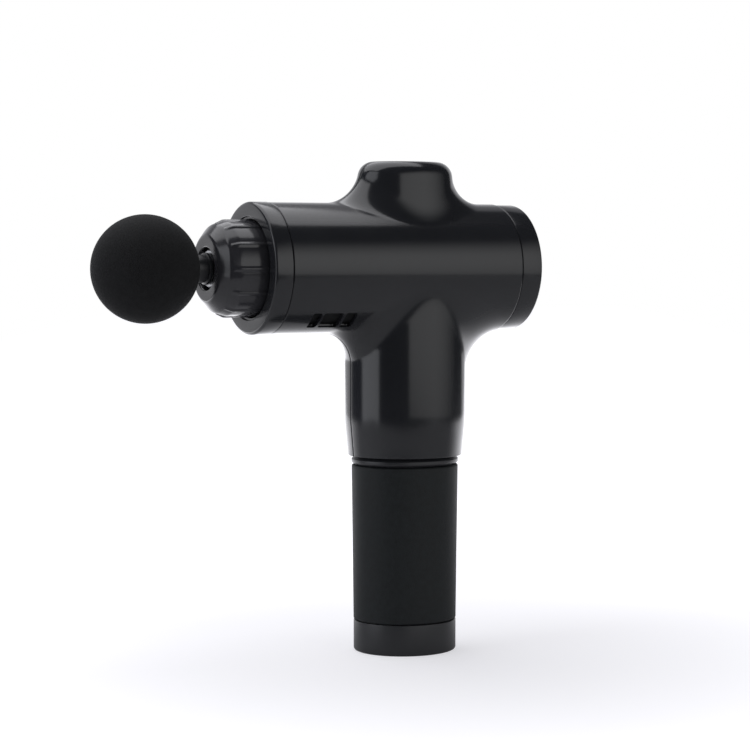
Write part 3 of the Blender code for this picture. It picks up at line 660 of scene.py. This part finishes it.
def build_nose():
    """The ribbed nose collar, and the gasket that closes the gap between it and the ring."""
    front, rear = NOSE_LOW[0], NOSE_HIGH[0]
    outer = NOSE_R - 0.45
    corners = [(10.0, front + 3.0, 0), (10.0, front, 0.7), (15.4, front, 3.0), (20.6, front + 4.4, 4.0),
               (outer, front + 9.0, 5.0)]
    along = np.linspace(RIB_FRONT - 1.4, RIB_REAR + 1.4, 30)
    corners += [(outer, x, 0) for x in along if x > front + 10.5]
    corners += [(outer, rear, 0.4), (outer - 3.2, rear, 0), (outer - 3.2, front + 6.5, 0),
                (15.5, front + 3.0, 0)]
    turned("nose_collar_piece", corners, "nose", "gun_body", ("nose_collar",), **ON_BARREL,
           steps=NOSE_STEPS, lift=rib_height, slot="nose", pieces=8)
    wiper, inside = RING_LOW[0] + 3.6, BARREL_R - WALL - 2.6
    turned("nose_gasket", [
        (outer + 0.15, wiper, 0.3), (inside, wiper, 0), (inside, wiper + 1.6, 0),
        (outer + 0.9, wiper + 1.6, 0.4)], "rubber", "gun_body", **ON_BARREL, slot="rubber")


def build_front_ring():
    """The ring round the nose, with a lipped mouth and a spigot that reaches into the housing."""
    front, seam = RING_LOW[0], SHELL_FRONT - 0.3
    outer, mouth = BARREL_R + 0.2, NOSE_R + 0.5
    spigot = BARREL_R - WALL - 0.4
    turned("front_ring_piece", [
        (mouth, front + 3.2, 0.3), (mouth, front + 0.9, 0.3), (mouth + 0.9, front + 0.9, 0.2),
        (mouth + 1.3, front, 0.3), (outer, front, 1.5), (outer, seam, 0.35), (spigot, seam, 0),
        (spigot, RING_HIGH[0], 0.3), (spigot - 2, RING_HIGH[0], 0), (spigot - 2, front + 3.2, 0)],
        "shell", "gun_body", ("front_ring",), **ON_BARREL, slot="shell")


BALL_BANDS = 60
STEM_TOP = 7.0  # the stem's end, behind the ball's centre
SHOULDER_X, STEM_END_X = -103.9, -86.6
GROOVE_FRONT, GROOVE_REAR = -95.6, -93.0  # where the seal sits


def build_head():
    """The foam ball, and its stem with a flange, a plug and the seal's groove."""
    mouth_r, mouth_x = STEM_R + 0.3, BALL_X + STEM_TOP - 0.3
    points = [(0, mouth_x), (mouth_r, mouth_x)]
    start = math.asin(mouth_r / BALL_R)
    for i in range(BALL_BANDS):
        turn = start + (math.pi - start) * i / BALL_BANDS
        points.append((BALL_R * math.sin(turn), BALL_X + BALL_R * math.cos(turn)))
    points.append((0, BALL_X - BALL_R))
    verts, faces = turn_outline(points, FINE, "X", (0, 0, AXIS_Z))
    ball = add_piece("foam_ball", verts, faces, "foam", "head", ("massage_ball",))
    flange_r, plug_r, groove_r = STEM_R + 0.9, 5.2, 4.0
    turned("head_stem_piece", [
        (0, BALL_X + STEM_TOP, 0), (STEM_R, BALL_X + STEM_TOP, 0), (STEM_R, SHOULDER_X - 2.4, 0),
        (flange_r, SHOULDER_X - 2.0, 0.3), (flange_r, SHOULDER_X, 0.3), (plug_r, SHOULDER_X, 0),
        (plug_r, GROOVE_FRONT, 0.2), (groove_r, GROOVE_FRONT, 0.2), (groove_r, GROOVE_REAR, 0.2),
        (plug_r, GROOVE_REAR, 0.2), (plug_r, STEM_END_X, 0.8), (0, STEM_END_X, 0)],
        "satin", "head", ("head_stem",), **ON_BARREL, slot="satin", steps=96)


# ---- rear ----
PANEL_R = 25.1
BUTTON_R = 6.0
LIGHT_SPOTS = [(-7.0, 13.0), (0.0, 15.0), (7.0, 13.0)]
LIGHT_R, LIGHT_HOLE_R = 1.5, 1.75


def build_light(name, radius, crown, rounding, body, y, z):
    """A clear light guide along X, whose end rises by the crown towards its middle."""
    low, high = span(name)
    turned(f"{name}_piece", [
        (0, low[0], 0), (radius, low[0], 0), (radius, high[0] - crown, rounding), (0, high[0], 0)],
        "lens", body, (name,), axis="X", at=(0, y, z), steps=40, slot="lens")


def build_rear():
    """The rear cover, the panel with its lights, and the power button with a dished face."""
    seam, end = REAR_LOW[0], REAR_HIGH[0]
    outer, lip = BARREL_R - 0.4, PANEL_R + 0.3
    turned("rear_cover_piece", [
        (outer - WALL, seam, 0), (outer, seam, 0.4), (outer, end, 1.2), (lip, end, 0.4),
        (lip, end - 2.4, 0), (lip - 3.5, end - 2.4, 0), (lip - 3.5, end - 4.0, 0),
        (outer - WALL, end - 4.0, 0)], "shell", "gun_body", ("rear_cover",), **ON_BARREL, slot="shell")
    front, back = PANEL_LOW[0], PANEL_HIGH[0]
    panel = turned("control_panel_piece", [
        (BUTTON_R + 0.4, front, 0), (PANEL_R, front, 0), (PANEL_R, back, 0.35), (BUTTON_R + 1.6, back, 0.5),
        (BUTTON_R + 0.4, back - 0.5, 0.2)],
        "panel", "gun_body", ("control_panel",), **ON_BARREL, slot="satin")
    for y, z in LIGHT_SPOTS:
        hole = drill(LIGHT_HOLE_R, front - 3, back + 3, "X", (0, y, AXIS_Z + z))
        cut_away(panel, bare_object("light_tool", hole))
    for i, (y, z) in enumerate(LIGHT_SPOTS, 1):
        build_light(f"speed_light_{i}", LIGHT_R, 0.0, 0.4, "gun_body", y, AXIS_Z + z)
    low, high = span("power_button")
    rim_r, rim_x, dish_x = BUTTON_R + 1.6, low[0] + 1.2, high[0] - 0.45
    turned("power_button_piece", [
        (0, low[0], 0), (rim_r, low[0], 0.2), (rim_r, rim_x, 0.2), (BUTTON_R, rim_x, 0.1),
        (BUTTON_R, high[0], 0.8), (BUTTON_R - 2.2, high[0] - 0.1, 0.8), (BUTTON_R - 2.8, dish_x, 0.5),
        (0, dish_x, 0)],
        "rubber", "power_button", ("power_button",), **ON_BARREL, steps=96, slot="rubber")


# ---- handle ----
HANDLE_BORE = 23.1  # inside of the grip, collar and cap, round the case
GRIP_BOTTOM_R, GRIP_TOP_R = 25.4, 26.3
COLLAR_R, CAP_R, CAP_FLOOR = 26.4, 25.3, 3.0
GRIP_OVAL, COLLAR_OVAL, CAP_OVAL = 2.05, 2.3, 1.7
JACK_Z, JACK_R = 8.2, 4.6
LIGHT_Y, CHARGE_LIGHT_R = 9.0, 1.4
BASE_SCREW_X, BASE_SCREW_Y = 0.6, 15.6
ROCKER_X, ROCKER_PIVOT_Z, ROCKER_TILT = -11.0, 3.6, math.radians(-8)
ROCKER_HALF_X, ROCKER_HALF_Y = 7.5, 5.0  # of the frame


def build_handle():
    """The foam grip, a little wider at its top, and the collar above it."""
    low, high = GRIP_LOW[2], GRIP_HIGH[2]
    rows = [(GRIP_BOTTOM_R + (GRIP_TOP_R - GRIP_BOTTOM_R) * t, low + (high - low) * t, 0)
            for t in np.linspace(0.03, 0.97, 24)]
    corners = [(HANDLE_BORE, low, 0), (GRIP_BOTTOM_R, low, 0.7), *rows, (GRIP_TOP_R, high, 0.9),
               (HANDLE_BORE, high, 0)]
    sleeve = turned("foam_grip", corners, "grip", "battery_pack", ("grip_sleeve",), squeeze=GRIP_OVAL,
                    slot="grip")
    low, high = COLLAR_LOW[2], COLLAR_HIGH[2]
    turned("grip_collar_piece", [
        (HANDLE_BORE, low, 0), (COLLAR_R - 1.0, low, 0.1), (COLLAR_R, low + 1.1, 0.3),
        (COLLAR_R, high - 1.5, 0.3), (COLLAR_R - 1.5, high, 0.2), (HANDLE_BORE, high, 0)],
        "satin", "battery_pack", ("grip_collar",), squeeze=COLLAR_OVAL, slot="satin")


def build_base():
    """The base cap with its openings for the rocker, the charge socket, a light and two screws."""
    low, high = CAP_LOW[2], CAP_HIGH[2]
    cap = turned("base_cap_piece", [
        (0, low, 0), (CAP_R, low, 1.3), (CAP_R, high, 0.4), (HANDLE_BORE, high, 0),
        (HANDLE_BORE, CAP_FLOOR, 0), (0, CAP_FLOOR, 0)],
        "satin", "battery_pack", ("base_cap",), squeeze=CAP_OVAL, slot="satin")
    gap = 0.3
    half_x, half_y = ROCKER_HALF_X + gap, ROCKER_HALF_Y + gap
    tools = [block((ROCKER_X - half_x, -half_y, -4), (ROCKER_X + half_x, half_y, 8), 0.5)]
    tools += [drill(JACK_R + gap, 18, 32, "X", (0, 0, JACK_Z)),
              drill(CHARGE_LIGHT_R + 0.25, 18, 32, "X", (0, LIGHT_Y, JACK_Z))]
    tools += [drill(BOSS_HOLE_R, -4, 2.0, "Z", (BASE_SCREW_X, y, 0)) for y in (-BASE_SCREW_Y, BASE_SCREW_Y)]
    for i, shape in enumerate(tools):
        cut_away(cap, bare_object(f"base_tool_{i}", shape))


# ---- fittings ----
def screw(node, body, axis, at, face, seat, tip):
    """A pan head screw with a cross recess and a ridged shank; face, seat and tip lie along its axis."""
    head_r, shank_r, pitch = 2.7, 1.3, 1.0
    inward = 1 if tip > face else -1
    corners = [(0, face, 0), (head_r - 0.5, face, 0.2), (head_r, face + inward * 0.7, 0.4),
               (head_r, seat, 0.1), (shank_r, seat, 0)]
    turns = int(abs(tip - seat) / pitch) - 2
    for i in range(turns):
        start = seat + inward * (1.5 + i * pitch)
        corners += [(shank_r - 0.3, start, 0), (shank_r, start + inward * pitch / 2, 0)]
    corners += [(0, tip, 0)]
    piece = turned(f"{node}_piece", corners, "steel", body, (node,), axis=axis, at=at, steps=48,
                   slot="steel")
    slot_long, slot_thin, slot_deep = 1.5, 0.32, 0.75
    low, high = sorted((face - inward, face + inward * slot_deep))
    for u, v in ((slot_long, slot_thin), (slot_thin, slot_long)):
        corner = {"Y": ((-u, low, -v), (u, high, v)), "Z": ((-u, -v, low), (u, v, high))}[axis]
        slot = block(*[tuple(np.array(c) + np.array(at)) for c in corner], 0.1, 1)
        cut_away(piece, bare_object("recess", slot))


def build_screws():
    for i, (x, z) in enumerate(SCREW_SPOTS, 1):
        low, high = span(f"housing_screw_{i}")
        screw(f"housing_screw_{i}", "gun_body", "Y", (x, 0, z), high[1], SCREW_SEAT_Y + 0.3, low[1])
    for i, y in enumerate((-BASE_SCREW_Y, BASE_SCREW_Y), 1):
        low, high = span(f"base_screw_{i}")
        screw(f"base_screw_{i}", "battery_pack", "Z", (BASE_SCREW_X, y, 0), low[2], 1.7, high[2])


def build_charge_port():
    """A round socket with a centre pin, and the light beside it."""
    low, high = span("charge_socket")
    bore, floor = 3.2, low[0] + 2
    turned("charge_socket_piece", [
        (0, low[0], 0), (JACK_R, low[0], 0.3), (JACK_R, high[0], 0.4), (bore + 0.5, high[0], 0.2),
        (bore, high[0] - 0.6, 0.1), (bore, floor, 0), (0, floor, 0)],
        "rubber", "battery_pack", ("charge_socket",), axis="X", at=(0, 0, JACK_Z), steps=64, slot="rubber")
    pin_r, foot_r, foot, tip = 0.65, 1.1, floor + 0.2, high[0] - 1.4
    turned("charge_pin", [
        (0, foot, 0), (foot_r, foot, 0.1), (foot_r, foot + 0.8, 0.1), (pin_r, foot + 0.8, 0.1),
        (pin_r, tip, 0.5), (0, tip, 0)],
        "brass", "battery_pack", axis="X", at=(0, 0, JACK_Z), steps=32, slot="brass")
    build_light("charge_light", CHARGE_LIGHT_R, 0.2, 0.5, "battery_pack", LIGHT_Y, JACK_Z)


def build_rocker():
    """The rocker in its well: a key with a hollow face, tilted to one side."""
    frame_piece = bare_object("rocker_frame_piece", block(*span("rocker_frame"), 0.7))
    finish_block(frame_piece, "rubber", "battery_pack", "rocker_frame")
    well_x, well_y = ROCKER_HALF_X - 0.9, ROCKER_HALF_Y - 0.9
    well = block((ROCKER_X - well_x, -well_y, -2), (ROCKER_X + well_x, well_y, 6.6), 0.4)
    cut_away(frame_piece, bare_object("rocker_well", well))
    half_y = well_y - 0.3
    outline = rounded([(-6, 1.7, 0.5), (0, 2.6, 14), (6, 1.7, 0.5), (5.4, 4.6, 0.8), (0, 5.2, 6),
                       (-5.4, 4.6, 0.8)])
    shape = bmesh.new()
    face = shape.faces.new([shape.verts.new((x, -half_y, z - ROCKER_PIVOT_Z)) for x, z in outline])
    pushed = bmesh.ops.extrude_face_region(shape, geom=[face])["geom"]
    far_side = [v for v in pushed if isinstance(v, bmesh.types.BMVert)]
    bmesh.ops.translate(shape, vec=(0, 2 * half_y, 0), verts=far_side)
    bmesh.ops.recalc_face_normals(shape, faces=shape.faces)
    ends = [e for e in shape.edges if abs(e.verts[0].co.y - e.verts[1].co.y) < 0.1]
    bmesh.ops.bevel(shape, geom=ends, offset=0.3, segments=3, affect="EDGES", profile=0.5)
    place = Matrix.Scale(MM, 4) @ Matrix.Translation((ROCKER_X, 0, ROCKER_PIVOT_Z))
    bmesh.ops.transform(shape, matrix=place @ Matrix.Rotation(ROCKER_TILT, 4, "Y"), verts=shape.verts)
    rocker = bare_object("power_rocker_piece", shape)
    finish_block(rocker, "rubber", "rocker", "power_rocker")


def finish_block(piece, look, body, node):
    """Give a piece made from a bmesh its material and its place in the frame."""
    dress(piece.data, look)
    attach(piece, body)
    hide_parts(node)


def build_release_button():
    """A plate behind the window with a raised pad, which has four grooves for the thumb."""
    low, high = span("release_button")
    plate = bare_object("release_button_piece", block(low, (low[0] + 1.5, high[1], high[2]), 0.5))
    finish_block(plate, "rubber", "release_button", "release_button")
    pad_y, pad_z = 4.0, 5.5
    pad = block((low[0] + 0.7, -pad_y, WINDOW_Z - pad_z), (high[0], pad_y, WINDOW_Z + pad_z), 0.9, 4)
    cut_away(plate, bare_object("release_pad", pad), "UNION")
    for i in range(4):
        z = WINDOW_Z + (i - 1.5) * 2.2
        groove = block((high[0] - 0.5, -pad_y + 0.9, z - 0.45), (high[0] + 1, pad_y - 0.9, z + 0.45), 0.2)
        cut_away(plate, bare_object("release_groove", groove))


def build_seal():
    """The seal ring on the head's plug, with an oval section."""
    low, high = span("head_seal")
    ring_r, half_r, count = 4.8, 0.5, 20
    middle, half_x = (low[0] + high[0]) / 2, (high[0] - low[0]) / 2
    angles = [math.tau * i / count for i in range(count)]
    points = [(ring_r + half_r * math.cos(a), middle + half_x * math.sin(a), 0) for a in angles]
    turned("head_seal_piece", points, "rubber", "head", ("head_seal",), **ON_BARREL, steps=64,
           slot="rubber")


def build_fittings():
    build_screws()
    build_charge_port()
    build_rocker()
    build_release_button()
    build_seal()


def build_bosses():
    """Screw posts inside the housing: open on the +Y side, with a blind hole on the other."""
    gap, hole_end = 0.3, -12
    for i, (x, z) in enumerate(SCREW_SPOTS, 1):
        rim = min(wall_depth(x, z - BOSS_R), wall_depth(x, z + BOSS_R)) - 0.7
        turned(f"screw_post_{i}", [
            (SCREW_HOLE_R, gap, 0), (BOSS_R, gap, 0.3), (BOSS_R, rim, 0), (BOSS_HOLE_R, rim, 0),
            (BOSS_HOLE_R, SCREW_SEAT_Y, 0.2), (SCREW_HOLE_R, SCREW_SEAT_Y, 0.1)],
            "shell", "gun_body", axis="Y", at=(x, 0, z), steps=40, slot="shell")
        turned(f"screw_anchor_{i}", [
            (SCREW_HOLE_R, -gap, 0), (SCREW_HOLE_R, hole_end, 0), (0, hole_end, 0), (0, -rim, 0),
            (BOSS_R, -rim, 0), (BOSS_R, -gap, 0.3)],
            "shell", "gun_body", axis="Y", at=(x, 0, z), steps=40, slot="shell")


def wall_depth(x, z):
    """How far out in y the housing's skin lies at this x and z."""
    y = np.linspace(8, BARREL_R + 1, 400)
    column = np.stack([np.full_like(y, x), y, np.full_like(y, z)], 1)
    return float(y[np.argmax(housing_field(column) > 0)])


# The dark sheets behind the vents paint shade into the vent openings.
SHADE_SHEET_R, SHADE_SHEET_THICK, SHADE_SHEET_RIPPLE = BARREL_R - WALL - 0.35, 1.2, 0.12
SHADE_SHEET_COLUMNS, SHADE_SHEET_ROWS = 40, 16


def shade_sheet(radius, side, ripple):
    """Rows of points on the inside of the barrel behind the vents, as a curved sheet."""
    over = 1.8
    start, end = VENTS[0][0] - over, VENTS[-1][1] + over
    low, high = math.radians(-80), math.asin((VENT_TOP + 2.0 - AXIS_Z) / SHADE_SHEET_R)
    verts = []
    for i in range(SHADE_SHEET_COLUMNS + 1):
        for j in range(SHADE_SHEET_ROWS + 1):
            turn = low + (high - low) * j / SHADE_SHEET_ROWS
            r = radius + ripple * (math.sin(i * 2.4) * math.sin(j * 2.4)) - SHADE_SHEET_RIPPLE
            verts.append((start + (end - start) * i / SHADE_SHEET_COLUMNS, side * r * math.cos(turn),
                          AXIS_Z + r * math.sin(turn)))
    return verts


def build_vent_shade_sheets():
    """A dark sheet behind the vents, against the inner wall, as painted shade in the vent openings: an
    outer and an inner sheet and an edge.
    """
    wide, sheet = SHADE_SHEET_ROWS + 1, (SHADE_SHEET_COLUMNS + 1) * (SHADE_SHEET_ROWS + 1)
    faces = []
    for i in range(SHADE_SHEET_COLUMNS):
        for j in range(SHADE_SHEET_ROWS):
            a = i * wide + j
            faces += [(a, a + 1, a + wide + 1, a + wide),
                      (sheet + a, sheet + a + wide, sheet + a + wide + 1, sheet + a + 1)]
    edge = [i * wide for i in range(SHADE_SHEET_COLUMNS + 1)]
    edge += [SHADE_SHEET_COLUMNS * wide + j for j in range(1, wide)]
    edge += [i * wide + SHADE_SHEET_ROWS for i in reversed(range(SHADE_SHEET_COLUMNS))]
    edge += list(reversed(range(1, SHADE_SHEET_ROWS)))
    faces += [(sheet + a, sheet + b, b, a) for a, b in zip(edge, edge[1:] + edge[:1])]
    for side, name in ((-1, "left"), (1, "right")):
        verts = shade_sheet(SHADE_SHEET_R, side, SHADE_SHEET_RIPPLE) + shade_sheet(SHADE_SHEET_R - SHADE_SHEET_THICK, side, 0.0)
        outward = [f[::-1] for f in faces] if side > 0 else faces
        add_piece(f"vent_shade_sheet_{name}", verts, outward, "foam", "gun_body", (), 60)


def build_housing():
    housing_half("left_housing_piece", -1, "left_housing")
    housing_half("right_housing_piece", 1, "right_housing")
    build_bosses()
    build_vent_shade_sheets()


def dress_cad_nodes():
    """Materials for the CAD nodes that stay visible, by their slot in the record."""
    slots = {row["node"]: row["material_slot"] for row in frame["record"]["subparts"]}
    for name, node in frame["nodes"].items():
        dress(node.data, slots[name], 35)


# ---- studio ----
# Lengths are in metres from here on.
CAMERA_SPOT = (-0.5145, -0.9413, 0.1964)
CAMERA_YAW, CAMERA_DIP = 0.4867, 0.0582  # in radians
CAMERA_LENS, CAMERA_SENSOR = 106.1, 36  # in millimetres


def build_camera():
    data = bpy.data.cameras.new("camera")
    data.lens = CAMERA_LENS
    data.sensor_width = CAMERA_SENSOR
    camera = new_object("camera", data)
    camera.location = CAMERA_SPOT
    camera.rotation_euler = (math.pi / 2 - CAMERA_DIP, 0, -CAMERA_YAW)
    bpy.context.scene.camera = camera


def area_light(name, size, radiance, colour=(1, 1, 1)):
    """A rectangular light that the camera doesn't see. It faces down until it is turned."""
    data = bpy.data.lights.new(name, "AREA")
    data.shape = "RECTANGLE"
    data.size, data.size_y = size
    data.energy = math.pi * radiance * size[0] * size[1]
    data.color = colour
    light = new_object(name, data)
    light.visible_camera = False
    return light


def face_gun(light, azimuth, distance, height):
    """Stand a light upright, facing the handle's axis: azimuth 0 is on the -Y side, 90 on the +X side."""
    turn = math.radians(azimuth)
    away = Vector((math.sin(turn), -math.cos(turn), 0))
    light.location = Vector((0, 0, height)) + away * distance
    light.rotation_euler = (-away).to_track_quat("-Z", "Y").to_euler()


class SkyNodes:
    """A helper for the world: steps and mixes by the direction looked in."""

    def __init__(self, tree):
        self.tree = tree
        coordinates = tree.nodes.new("ShaderNodeTexCoord")
        self.direction = coordinates.outputs["Generated"]

    def along(self, vector):
        dot = self.tree.nodes.new("ShaderNodeVectorMath")
        dot.operation = "DOT_PRODUCT"
        dot.inputs[1].default_value = vector
        self.tree.links.new(self.direction, dot.inputs[0])
        return dot.outputs["Value"]

    def step(self, value, low, high):
        return mapped(self.tree, value, (low, high, 0, 1))

    def mix(self, factor, first, second):
        blend = self.tree.nodes.new("ShaderNodeMix")
        blend.data_type = "RGBA"
        for socket, colour in ((blend.inputs[6], first), (blend.inputs[7], second)):
            if isinstance(colour, tuple):
                socket.default_value = (*colour, 1.0)
            else:
                self.tree.links.new(colour, socket)
        self.tree.links.new(factor, blend.inputs[0])
        return blend.outputs[2]


BACKDROP, BACKDROP_HIGH = (0.85, 0.85, 0.88), (0.35, 0.35, 0.37)
BACKDROP_TURN = math.radians(9)
BACKDROP_EDGE = (0.59, 0.67)  # cosine from its middle at which it sets in
BACKDROP_FADE = (0.2, 0.55)  # rise over which it darkens
ROOM_DARK, ROOM_SIDE = (0.018, 0.019, 0.022), (0.05, 0.055, 0.075)
SIDE_EDGE = (-0.75, -0.95)  # the room's left side, by the cosine from the camera's right


def build_world():
    """A pale backdrop that darkens upwards, in a dark studio; the camera itself sees white all round."""
    world = bpy.data.worlds.new("studio")
    world.use_nodes = True
    bpy.context.scene.world = world
    tree = world.node_tree
    sky = SkyNodes(tree)
    middle = CAMERA_YAW - BACKDROP_TURN
    behind = sky.along((math.sin(middle), math.cos(middle), 0))
    right = sky.along((math.cos(CAMERA_YAW), -math.sin(CAMERA_YAW), 0))
    room = sky.mix(sky.step(right, *SIDE_EDGE), ROOM_DARK, ROOM_SIDE)
    paper = sky.mix(sky.step(sky.along((0, 0, 1)), *BACKDROP_FADE), BACKDROP, BACKDROP_HIGH)
    seen = sky.mix(sky.step(behind, *BACKDROP_EDGE), room, paper)
    path = tree.nodes.new("ShaderNodeLightPath")
    shown = sky.mix(path.outputs["Is Camera Ray"], seen, (1.0, 1.0, 1.0))
    background = tree.nodes["Background"]
    tree.links.new(shown, background.inputs["Color"])
    background.inputs["Strength"].default_value = 1.0


FLOOR_GLOW_NEAR, FLOOR_GLOW_BEHIND, FLOOR_RISE = 0.15, 2.2, 0.45
FLOOR_GLOW_SEEN, FAR_GLOW, FLOOR_FADE = 0.6, 1.0, (0.06, 0.42)
TABLE_FRONT, TABLE_BACK, TABLE_SIDE = 0.5, 6.0, 0.8


def floor_material():
    """White table with a glow of its own, like an overexposed sweep.

    To the camera it brightens with the distance from the gun's foot. In the gun's reflections it is
    dark near the foot, and brightens with the distance behind it.
    """
    nodes = Nodes("floor_paint", (0.5, 0.5, 0.5), 0.9)
    nodes.plain(Specular_IOR_Level=0.0, Emission_Color=(0.965, 0.962, 1.0, 1.0))
    nodes.tint(nodes.noise(3), (0.495, 0.495, 0.505), (0.5, 0.5, 0.51))
    reach = nodes.add("ShaderNodeVectorMath", operation="LENGTH")
    nodes.link(nodes.place, reach.inputs[0])
    fade = mapped(nodes.tree, reach.outputs["Value"], (*FLOOR_FADE, FLOOR_GLOW_SEEN, FAR_GLOW))
    behind = nodes.add("ShaderNodeVectorMath", operation="DOT_PRODUCT")
    behind.inputs[1].default_value = (math.sin(CAMERA_YAW), math.cos(CAMERA_YAW), 0)
    nodes.link(nodes.place, behind.inputs[0])
    rise = mapped(nodes.tree, behind.outputs["Value"],
                  (0, FLOOR_RISE, FLOOR_GLOW_NEAR, FLOOR_GLOW_BEHIND))
    path = nodes.add("ShaderNodeLightPath")
    glow = nodes.add("ShaderNodeMapRange")
    nodes.link(path.outputs["Is Camera Ray"], glow.inputs["Value"])
    nodes.link(rise, glow.inputs["To Min"])
    nodes.link(fade, glow.inputs["To Max"])
    nodes.link(glow.outputs["Result"], nodes.shader.inputs["Emission Strength"])
    return nodes.material


def build_floor():
    """A table seen from the camera: it ends a little way in front of the gun and runs on behind it."""
    mesh = bpy.data.meshes.new("floor")
    corners = [(-TABLE_SIDE, -TABLE_FRONT), (TABLE_SIDE, -TABLE_FRONT), (TABLE_SIDE, TABLE_BACK),
               (-TABLE_SIDE, TABLE_BACK)]
    mesh.from_pydata([(x, y, 0) for x, y in corners], [], [(0, 1, 2, 3)])
    mesh.transform(Matrix.Rotation(-CAMERA_YAW, 4, "Z"))
    mesh.materials.append(floor_material())
    new_object("floor", mesh)


def fade_light(light, rows):
    """Dim a light towards its edges.

    Rows are (axis, start, end, level left at the end), where start and end run from 0 to 1 across it.
    """
    light.data.use_nodes = True
    tree = light.data.node_tree
    place = tree.nodes.new("ShaderNodeNewGeometry")
    parts = tree.nodes.new("ShaderNodeSeparateXYZ")
    tree.links.new(place.outputs["Parametric"], parts.inputs[0])
    level = None
    for axis, start, end, left in rows:
        fade = mapped(tree, parts.outputs[axis], (start, end, 1, left))
        product = tree.nodes.new("ShaderNodeMath")
        product.operation = "MULTIPLY"
        product.inputs[0].default_value = 1.0
        if level:
            tree.links.new(level, product.inputs[0])
        tree.links.new(fade, product.inputs[1])
        level = product.outputs["Value"]
    tree.links.new(level, tree.nodes["Emission"].inputs["Strength"])


def build_lights():
    """A fading softbox right of the camera, a strip ahead of the nose and a panel above and behind."""
    softbox = area_light("softbox", size=(2.03, 1.18), radiance=1.15)
    face_gun(softbox, azimuth=31.5, distance=0.9, height=0.61)
    fade_light(softbox, [("X", 0.45, 1.0, 0.1), ("Y", 0.35, 0.88, 0.0), ("Y", 0.25, 0.0, 0.82)])
    strip = area_light("strip", size=(0.85, 1.1), radiance=1.6, colour=(0.93, 0.95, 1.0))
    face_gun(strip, azimuth=-93.5, distance=1.2, height=0.45)
    overhead = area_light("overhead", size=(1.0, 0.92), radiance=2.0, colour=(0.97, 0.97, 1.0))
    overhead.location = (-0.20, 0.34, 0.79)


def build_studio():
    build_floor()
    build_lights()
    bpy.context.scene.view_settings.view_transform = "Standard"


build_housing()
build_front_ring()
build_nose()
build_head()
build_rear()
build_handle()
build_base()
build_fittings()
dress_cad_nodes()
build_camera()
build_world()
build_studio()
